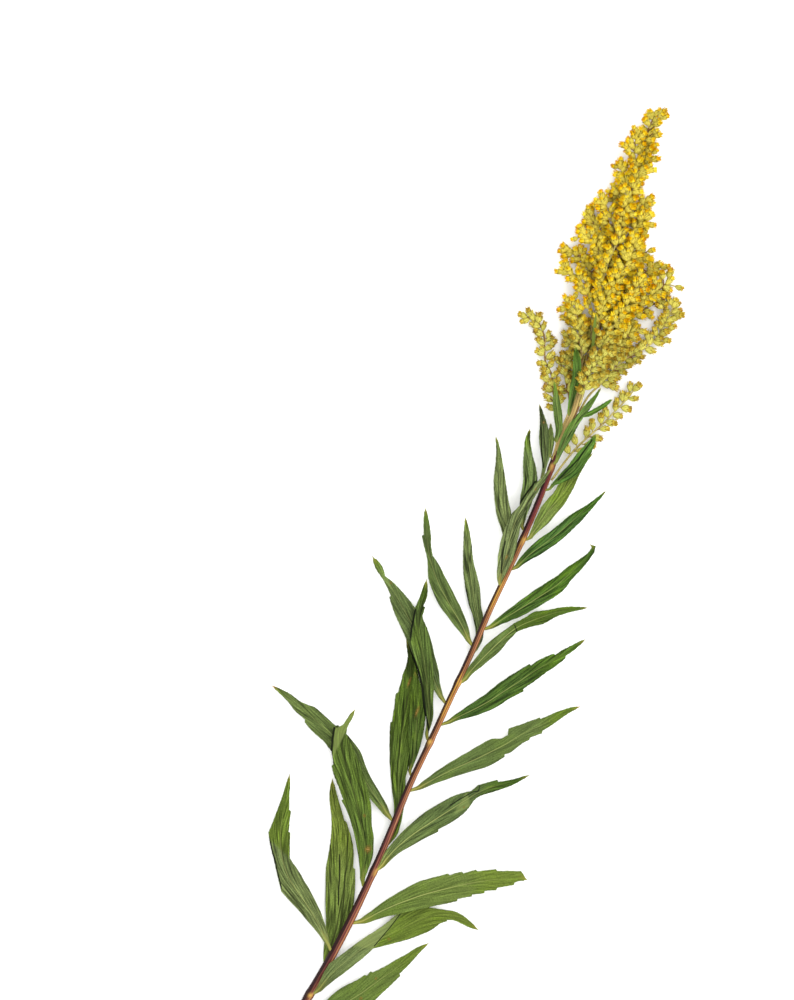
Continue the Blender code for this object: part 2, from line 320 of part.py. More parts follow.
LEAF_COLOUR = (0.115, 0.205, 0.045, 1.0)
STEM_COLOUR = (0.30, 0.115, 0.060, 1.0)
HEAD_COLOUR = (0.62, 0.40, 0.055, 1.0)


class Route:
    """A smooth curve through chosen points, read by the share of its length."""

    def __init__(self, points):
        self.points = np.array(points, dtype=float)
        chords = np.linalg.norm(np.diff(self.points, axis=0), axis=1)
        self.reach = np.concatenate([[0.0], np.cumsum(chords)])
        self.length = float(self.reach[-1])
        last = len(self.points) - 1
        self.slopes = np.array([
            (self.points[min(i + 1, last)] - self.points[max(i - 1, 0)])
            / (self.reach[min(i + 1, last)] - self.reach[max(i - 1, 0)])
            for i in range(last + 1)
        ])

    def at(self, share):
        run = min(max(share, 0.0), 1.0) * self.length
        i = min(int(np.searchsorted(self.reach, run, side="right")) - 1, len(self.points) - 2)
        span = self.reach[i + 1] - self.reach[i]
        u = (run - self.reach[i]) / span
        return (
            (2 * u**3 - 3 * u**2 + 1) * self.points[i]
            + (u**3 - 2 * u**2 + u) * span * self.slopes[i]
            + (3 * u**2 - 2 * u**3) * self.points[i + 1]
            + (u**3 - u**2) * span * self.slopes[i + 1]
        )

    def heading(self, share):
        step = 0.5 / self.length
        ahead = self.at(min(share + step, 1.0)) - self.at(max(share - step, 0.0))
        return ahead / np.linalg.norm(ahead)


STEM_CURVE = Route(STEM_ROUTE)
STEM_SAMPLES = np.array([STEM_CURVE.at(i / 800) for i in range(801)])


def stem_place(height):
    """The stem's middle at a height along Y."""
    return np.array([
        np.interp(height, STEM_SAMPLES[:, 1], STEM_SAMPLES[:, 0]),
        height,
        np.interp(height, STEM_SAMPLES[:, 1], STEM_SAMPLES[:, 2]),
    ])


def stem_radius(height):
    """The stem's radius at a height along Y, with the swelling of a scar."""
    heights, radii = zip(*STEM_RADII)
    swell = sum(SCAR_SWELL * math.exp(-((height - scar) / SCAR_LENGTH) ** 2) for scar in STEM_SCARS)
    return float(np.interp(height, heights, radii)) + swell


def seat(height, side, half_width, next_point):
    """Where a leaf or twig starts, so that its foot lies a hair off the stem's bark."""
    turn = math.radians(side)
    outward = np.array([math.cos(turn), 0.0, math.sin(turn)])
    start = stem_place(height)
    for _ in range(3):
        ahead = np.array(next_point, dtype=float) - start
        slant = math.sqrt(max(0.0, 1.0 - float(np.dot(ahead, outward) / np.linalg.norm(ahead)) ** 2))
        start = stem_place(height) + outward * (stem_radius(height) + SEAT_GAP + half_width * slant)
    return tuple(start)


def frame_at(route, share):
    """Heading of a route there, the flat direction across it, and the direction up from it."""
    heading = route.heading(share)
    across = np.cross(heading, (0.0, 0.0, 1.0))
    across = across / np.linalg.norm(across)
    return heading, across, np.cross(across, heading)


def new_material(name, colour, roughness):
    material = bpy.data.materials.new(name)
    material.use_nodes = True
    shader = material.node_tree.nodes["Principled BSDF"]
    shader.inputs["Base Color"].default_value = colour
    shader.inputs["Roughness"].default_value = roughness
    shader.inputs["Metallic"].default_value = 0.0
    return material


def new_object(name, points, faces, material):
    """An object from points in millimetres measured from the cut end."""
    middle = np.array([MIDDLE_X, MIDDLE_Y, 0.0])
    placed = (np.array(points, dtype=float) - middle) * METRES
    mesh = bpy.data.meshes.new(name)
    mesh.from_pydata([tuple(p) for p in placed], [], faces)
    mesh.materials.append(material)
    mesh.validate()
    made = bpy.data.objects.new(name, mesh)
    bpy.context.scene.collection.objects.link(made)
    return made


def tube(route, shares, radii, sides):
    """Points and faces of a round stalk with flat ends, one flat side down."""
    points = []
    faces = []
    for share, radius in zip(shares, radii):
        _, across, up = frame_at(route, share)
        for k in range(sides):
            turn = 2 * math.pi * (k + 0.5) / sides
            points.append(route.at(share) + radius * (math.sin(turn) * across + math.cos(turn) * up))
    for ring in range(len(shares) - 1):
        for k in range(sides):
            a = ring * sides + k
            b = ring * sides + (k + 1) % sides
            faces.append((a, b, b + sides, a + sides))
    faces.append(tuple(reversed(range(sides))))
    faces.append(tuple(range((len(shares) - 1) * sides, len(shares) * sides)))
    return points, faces


def build_stem(material):
    heights = sorted([place[1] for place in STEM_ROUTE] + STEM_SCARS)
    shares = np.interp(heights, STEM_SAMPLES[:, 1], np.linspace(0, 1, len(STEM_SAMPLES)))
    radii = [stem_radius(h) for h in heights]
    points, faces = tube(STEM_CURVE, shares, radii, STEM_SIDES)
    made = new_object("stem", points, faces, material)
    made.data.shade_smooth()
    made.data.set_sharp_from_angle(angle=math.radians(50))
    return made


def blunt_end(place, heading, half_width):
    """Left and right edge of a blade's foot or tip."""
    across = np.cross(heading, (0.0, 0.0, 1.0))
    across = across / np.linalg.norm(across)
    return place - across * half_width, place + across * half_width


def leaf_edges(leaf):
    """Left and right edge of the blade at each cross-section from foot to tip."""
    rows = leaf["sections"]
    lefts = [np.array([row[0], row[1], row[4]]) for row in rows]
    rights = [np.array([row[2], row[3], row[4]]) for row in rows]
    first = (lefts[0] + rights[0]) / 2
    last = (lefts[-1] + rights[-1]) / 2
    foot = np.array(seat(leaf["at"], leaf["side"], FOOT_HALF, first))
    tip = np.array(leaf["tip"])
    edges = [blunt_end(foot, first - foot, FOOT_HALF)]
    tip_edges = blunt_end(tip, tip - last, TIP_HALF)
    for i, row in enumerate(rows):
        left, right = lefts[i], rights[i]
        edges.append((left, right))
        if "left" in row or "right" in row:
            next_left, next_right = (lefts[i + 1], rights[i + 1]) if i + 1 < len(rows) else tip_edges
            part = TOOTH_STEP / np.linalg.norm((next_left + next_right - left - right) / 2)
            inward = (right - left) / np.linalg.norm(right - left) * TOOTH_DEPTH
            left = left + (next_left - left) * part + inward * ("left" in row)
            right = right + (next_right - right) * part - inward * ("right" in row)
            edges.append((left, right))
    edges.append(tip_edges)
    return np.array([left for left, _ in edges]), np.array([right for _, right in edges])


def leaf_blade(leaf, phase):
    """Shares of the length, left edge, midrib, right edge and upward direction at each cross-section."""
    lefts, rights = leaf_edges(leaf)
    middles = (lefts + rights) / 2
    steps = np.linalg.norm(np.diff(lefts, axis=0), axis=1) + np.linalg.norm(np.diff(rights, axis=0), axis=1)
    shares = np.concatenate([[0.0], np.cumsum(steps)]) / steps.sum()
    widths = np.linalg.norm(rights - lefts, axis=1)
    spread = widths / widths.max()
    wave = leaf["wave"] * spread * np.sin(2 * math.pi * WAVE_COUNT * shares + phase)
    places, tilts = zip(*leaf.get("tilt", [(0, 0), (1, 0)]))
    tilt = np.interp(shares, places, tilts) / 2
    lefts[:, 2] += leaf["cup"] * spread + wave + tilt
    rights[:, 2] += leaf["cup"] * spread - wave - tilt
    ups = np.cross(rights - lefts, np.gradient(middles, axis=0))
    ups /= np.linalg.norm(ups, axis=1)[:, None]
    return shares, lefts, middles, rights, ups


def build_leaf(name, leaf, material, phase):
    """A thin blade with chosen cross-sections, split into triangles alike on both faces."""
    _, lefts, middles, rights, ups = leaf_blade(leaf, phase)
    points = []
    faces = []
    for left, middle, right, up in zip(lefts, middles, rights, ups):
        points += [p + up * (BLADE / 2) for p in (left, middle, right)]
        points += [p - up * (BLADE / 2) for p in (left, middle, right)]
    for i in range(len(middles) - 1):
        a = 6 * i
        b = a + 6
        for k in (0, 1):
            faces += [(a + k, a + k + 1, b + k + 1), (a + k, b + k + 1, b + k)]
            faces += [(a + k + 3, b + k + 4, a + k + 4), (a + k + 3, b + k + 3, b + k + 4)]
        faces += [(a, b, b + 3), (a, b + 3, a + 3)]
        faces += [(a + 2, a + 5, b + 5), (a + 2, b + 5, b + 2)]
    last = 6 * (len(middles) - 1)
    faces += [(0, 3, 4, 1), (1, 4, 5, 2)]
    faces += [(last, last + 1, last + 4, last + 3), (last + 1, last + 2, last + 5, last + 4)]
    return new_object(name, points, faces, material)


def leaf_beads(leaf, phase):
    """Small balls strewn over a blade, which heads keep clear of."""
    shares, lefts, middles, rights, _ = leaf_blade(leaf, phase)
    length = float(np.linalg.norm(np.diff(middles, axis=0), axis=1).sum())
    steps = int(length / LEAF_BEAD_STEP)
    beads = []
    for i in range(steps + 1):
        left, middle, right = (
            np.array([np.interp(i / steps, shares, edge[:, axis]) for axis in range(3)])
            for edge in (lefts, middles, rights)
        )
        for k in range(-4, 5):
            side = right if k > 0 else left
            beads.append((*(middle + (side - middle) * abs(k) / 4), LEAF_BEAD_RADIUS))
    return beads


def spray_route(spray):
    if spray["side"] is None:
        end = STEM_CURVE.at(1.0) + STEM_CURVE.heading(1.0) * SEAT_GAP
        return Route([tuple(end)] + spray["route"])
    return Route([seat(spray["at"], spray["side"], TWIG_FOOT_RADIUS, spray["route"][0])] + spray["route"])


def twig_radius(spray, share):
    foot = TWIG_FOOT_RADIUS if spray["side"] is not None else stem_radius(spray["at"])
    return foot + (TWIG_TIP_RADIUS - foot) * share


def twig_stations(route):
    """Shares of a twig's length where its straight stretches meet."""
    steps = max(3, round(route.length / TWIG_STEP))
    return [i / steps for i in range(steps + 1)]


def twig_middle(route, share):
    """The middle of a twig's straight stretches at a share of its length."""
    stations = twig_stations(route)
    places = np.array([route.at(station) for station in stations])
    return np.array([np.interp(share, stations, places[:, axis]) for axis in range(3)])


def twig_beads(spray, route):
    steps = int(route.length / TWIG_BEAD_STEP)
    return [(*route.at(i / steps), twig_radius(spray, i / steps)) for i in range(steps + 1)]


def head_sides(direction):
    """Two directions across a head, square to each other."""
    side = np.cross(direction, (0.0, 0.0, 1.0))
    side = side / np.linalg.norm(side)
    return side, np.cross(direction, side)


def head_corner(head, run, radius, k):
    """Corner number k of a head's cross-section."""
    side, other = head_sides(head["direction"])
    turn = head["turn"] + 2 * math.pi * k / HEAD_SIDES
    outward = math.cos(turn) * side + math.sin(turn) * other
    return head["root"] + head["direction"] * run + radius * outward


def head_beads(head):
    """Balls that fill one head: its stalk, the corners of its rim, its crown, and its bell last."""
    root, direction, stalk, size = head["root"], head["direction"], head["stalk"], head["size"]
    length = HEAD_LENGTH * size
    radius = HEAD_RADIUS * size
    runs = np.arange(STALK_BEAD_STEP, stalk + STALK_BEAD_STEP / 2, STALK_BEAD_STEP)
    beads = [(*(root + direction * run), STALK_RADIUS) for run in runs]
    for k in range(HEAD_SIDES):
        corner = head_corner(head, stalk + HEAD_RIM * length, radius - CORNER_BEAD, k)
        beads.append((*corner, CORNER_BEAD))
    for share, part in (*HEAD_BEADS, BELL_BEAD):
        beads.append((*(root + direction * (stalk + share * length)), part * radius))
    return beads


def near_beads(beads, route):
    """Those of the balls that a head of this twig could reach."""
    beads = np.array(beads)
    low = route.points.min(axis=0) - REACH
    high = route.points.max(axis=0) + REACH
    return beads[((beads[:, :3] > low) & (beads[:, :3] < high)).all(axis=1)]


def is_clear(beads, others, air):
    if not len(others):
        return True
    beads = np.array(beads)
    apart = np.linalg.norm(beads[:, None, :3] - others[None, :, :3], axis=2)
    return bool((apart >= beads[:, None, 3] + others[None, :, 3] + air).all())


def is_apart(bell, own_bells):
    """Whether a head's bell leaves the other heads of its spray most of their room."""
    return all(
        np.linalg.norm(np.array(bell[:3]) - np.array(other[:3])) >= OWN_SPACING * (bell[3] + other[3])
        for other in own_bells
    )


def place_heads(spray, route, others, seed):
    """Heads along a twig, left and right in turn, each turned until it is clear of what is there."""
    draw = random.Random(seed)
    heads = []
    bells = []
    count = max(2, round(route.length * (1 - spray["bare"]) / spray["step"]))
    for k in range(count + 1):
        share = spray["bare"] + (1 - spray["bare"]) * k / count
        is_tip = k == count
        heading, across, up = frame_at(route, share)
        hand = 1 if k % 2 else -1
        for attempt in range(TURNS_TRIED):
            low, high = spray["lean"]
            lean = math.radians(draw.uniform(low, high))
            spread = math.radians(draw.uniform(*(TIP_SPREAD if is_tip else SIDE_SPREAD)))
            if attempt > TURNS_TRIED // 2 and not is_tip:
                hand = draw.choice((-1, 1))
            size = draw.uniform(*HEAD_SIZES)
            stalk = spray["stalk"] * draw.uniform(*STALK_FACTORS)
            turn = draw.uniform(0, 2 * math.pi)
            direction = (
                math.cos(spread) * heading
                + math.sin(spread) * (hand * math.cos(lean) * across + math.sin(lean) * up)
            )
            root = twig_middle(route, share) - direction * (TIP_SINK if is_tip else ROOT_SINK)
            head = dict(root=root, direction=direction, stalk=stalk, size=size, turn=turn)
            beads = head_beads(head)
            if min(bead[2] - bead[3] for bead in beads) < FLOOR_AIR:
                continue
            if is_apart(beads[-1], bells) and is_clear(beads, others, CLEAR_GAP):
                heads.append(head)
                bells.append(beads[-1])
                break
    return heads


def head_mesh(head):
    """A four-sided bell on its stalk, closed, with its root inside the twig."""
    direction = head["direction"]
    size = head["size"]
    length = HEAD_LENGTH * size
    rings = [
        (head["stalk"] + HEAD_SHOULDER * length, HEAD_SHOULDER_RADIUS * HEAD_RADIUS * size),
        (head["stalk"] + HEAD_RIM * length, HEAD_RADIUS * size),
    ]
    if head["stalk"] > LONG_STALK:
        rings.insert(0, (head["stalk"], STALK_RADIUS))
    points = [head["root"]]
    for run, radius in rings:
        points += [head_corner(head, run, radius, k) for k in range(HEAD_SIDES)]
    points.append(head["root"] + direction * (head["stalk"] + length))
    faces = []
    crown = len(points) - 1
    for k in range(HEAD_SIDES):
        after = (k + 1) % HEAD_SIDES
        faces.append((0, 1 + after, 1 + k))
        for ring in range(len(rings) - 1):
            a = 1 + ring * HEAD_SIDES
            b = a + HEAD_SIDES
            faces += [(a + k, a + after, b + after), (a + k, b + after, b + k)]
        rim = 1 + (len(rings) - 1) * HEAD_SIDES
        faces.append((rim + k, rim + after, crown))
    return points, faces


def build_spray(name, spray, route, heads, material):
    """A twig and its heads, joined into one body by one Boolean union."""
    shares = twig_stations(route)
    radii = [twig_radius(spray, share) for share in shares]
    points, faces = tube(route, shares, radii, TWIG_SIDES)
    made = new_object(name, points, faces, material)
    joined = bpy.data.collections.new(name + "_heads")
    bpy.context.scene.collection.children.link(joined)
    for k, head in enumerate(heads):
        points, faces = head_mesh(head)
        piece = new_object(f"{name}_head_{k}", points, faces, material)
        bpy.context.scene.collection.objects.unlink(piece)
        joined.objects.link(piece)
    union = made.modifiers.new("heads", "BOOLEAN")
    union.operation = "UNION"
    union.operand_type = "COLLECTION"
    union.collection = joined
    union.solver = "MANIFOLD"
    with bpy.context.temp_override(object=made, active_object=made):
        bpy.ops.object.modifier_apply(modifier=union.name)
    for piece in list(joined.objects):
        bpy.data.objects.remove(piece)
    bpy.data.collections.remove(joined)
    return made


def build():
    for old in list(bpy.data.objects):
        bpy.data.objects.remove(old)
    stem_bark = new_material("stem_bark", STEM_COLOUR, 0.7)
    leaf_green = new_material("leaf_green", LEAF_COLOUR, 0.65)
    head_yellow = new_material("head_yellow", HEAD_COLOUR, 0.8)

    build_stem(stem_bark)
    beads = [("stem", (*p, stem_radius(p[1]))) for p in STEM_SAMPLES[::2]]
    for k, (name, leaf) in enumerate(LEAVES.items()):
        build_leaf(name, leaf, leaf_green, phase=float(k))
        beads += [(name, bead) for bead in leaf_beads(leaf, float(k))]
    routes = {name: spray_route(spray) for name, spray in SPRAYS.items()}
    for name, spray in SPRAYS.items():
        beads += [(name, bead) for bead in twig_beads(spray, routes[name])]
    for seed, (name, spray) in enumerate(SPRAYS.items()):
        others = near_beads([bead for owner, bead in beads if owner != name], routes[name])
        heads = place_heads(spray, routes[name], others, seed)
        for head in heads:
            beads += [(name, bead) for bead in head_beads(head)]
        build_spray(name, spray, routes[name], heads, head_yellow)


build()
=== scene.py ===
import bpy
import math
import random

import numpy as np
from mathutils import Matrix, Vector


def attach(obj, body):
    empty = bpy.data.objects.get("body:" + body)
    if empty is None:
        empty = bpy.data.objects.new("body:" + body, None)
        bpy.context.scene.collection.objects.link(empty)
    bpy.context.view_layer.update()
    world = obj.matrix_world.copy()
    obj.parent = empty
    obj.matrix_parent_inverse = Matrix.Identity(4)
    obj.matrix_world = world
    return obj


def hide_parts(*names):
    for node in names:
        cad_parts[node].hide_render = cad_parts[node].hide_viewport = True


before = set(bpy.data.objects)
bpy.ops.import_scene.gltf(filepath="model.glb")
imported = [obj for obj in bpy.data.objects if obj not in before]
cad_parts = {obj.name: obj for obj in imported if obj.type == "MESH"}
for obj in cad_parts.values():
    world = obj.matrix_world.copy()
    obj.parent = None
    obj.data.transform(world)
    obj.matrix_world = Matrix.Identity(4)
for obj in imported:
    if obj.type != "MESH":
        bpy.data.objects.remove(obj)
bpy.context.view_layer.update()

METRES = 0.001
UP = (0.0, 0.0, 1.0)

# The plant is measured from its cut end, and its middle lies here from that end.
MIDDLE_X = 5.56
MIDDLE_Y = 216.7

# Air between a leaf or a twig and the stem that it grows from
SEAT_GAP = 0.3
# Air kept between the heads of one spray and everything of its neighbours
CLEAR_GAP = 0.3
# Air kept between the heads and the surface that the plant lies on
FLOOR_AIR = 0.05

# Stem: sides, steps in which it is measured, places of its middle line, and its radius at some heights
STEM_SIDES = 8
STEM_STEPS = 800
STEM_FOOT_RADIUS = 1.85
# The lowest stretch has one of its flat sides on the surface.
STEM_FLAT_LENGTH = 12.0
FLAT_MIDDLE = STEM_FOOT_RADIUS * math.cos(math.pi / STEM_SIDES)
STEM_ROUTE = [
    (0.0, 0.0, FLAT_MIDDLE), (1.3, STEM_FLAT_LENGTH, FLAT_MIDDLE),
    (3.4, 30.0, 3.1), (6.2, 50.0, 3.9), (8.2, 70.0, 4.5), (9.3, 90.0, 4.9), (9.7, 110.0, 5.2),
    (9.8, 130.0, 5.4), (11.0, 150.0, 5.6), (12.0, 170.0, 5.8),
    (13.0, 190.0, 6.0), (13.4, 210.0, 6.2), (14.5, 230.0, 6.4), (15.2, 250.0, 6.6), (15.2, 270.0, 6.9),
    (14.4, 290.0, 7.3), (15.3, 300.0, 7.6), (14.4, 315.0, 7.9), (12.4, 330.0, 8.1), (9.0, 350.0, 8.2),
    (5.5, 378.0, 8.0), (4.0, 400.0, 7.4),
]
STEM_RADII = [
    (0.0, STEM_FOOT_RADIUS), (STEM_FLAT_LENGTH, STEM_FOOT_RADIUS), (60.0, 1.75), (100.0, 1.5),
    (140.0, 1.35), (290.0, 1.3), (330.0, 1.1), (400.0, 0.8),
]
# Small swellings where the lower leaves left their scars
STEM_SCARS = [33.0, 91.0, 150.0, 178.0, 243.0, 276.0]
SCAR_SWELL = 0.25
SCAR_LENGTH = 2.2

# Leaves: half width at the foot and at the tip
FOOT_HALF = 0.55
TIP_HALF = 0.3
# Behind a tooth's point the edge falls back by this depth, within this step along the blade.
TOOTH_DEPTH = 0.8
TOOTH_STEP = 0.5
WAVE_COUNT = 2.3
# Size and spacing of the small balls that stand for a blade, and how many lie between midrib and edge
LEAF_BEAD_RADIUS = 0.5
LEAF_BEAD_STEP = 1.2
LEAF_BEADS_ACROSS = 4


def leaf_row(at, side, cup, wave, tip, sections, tilt=((0, 0), (1, 0))):
    return dict(at=at, side=side, cup=cup, wave=wave, tip=tip, sections=sections, tilt=tilt)


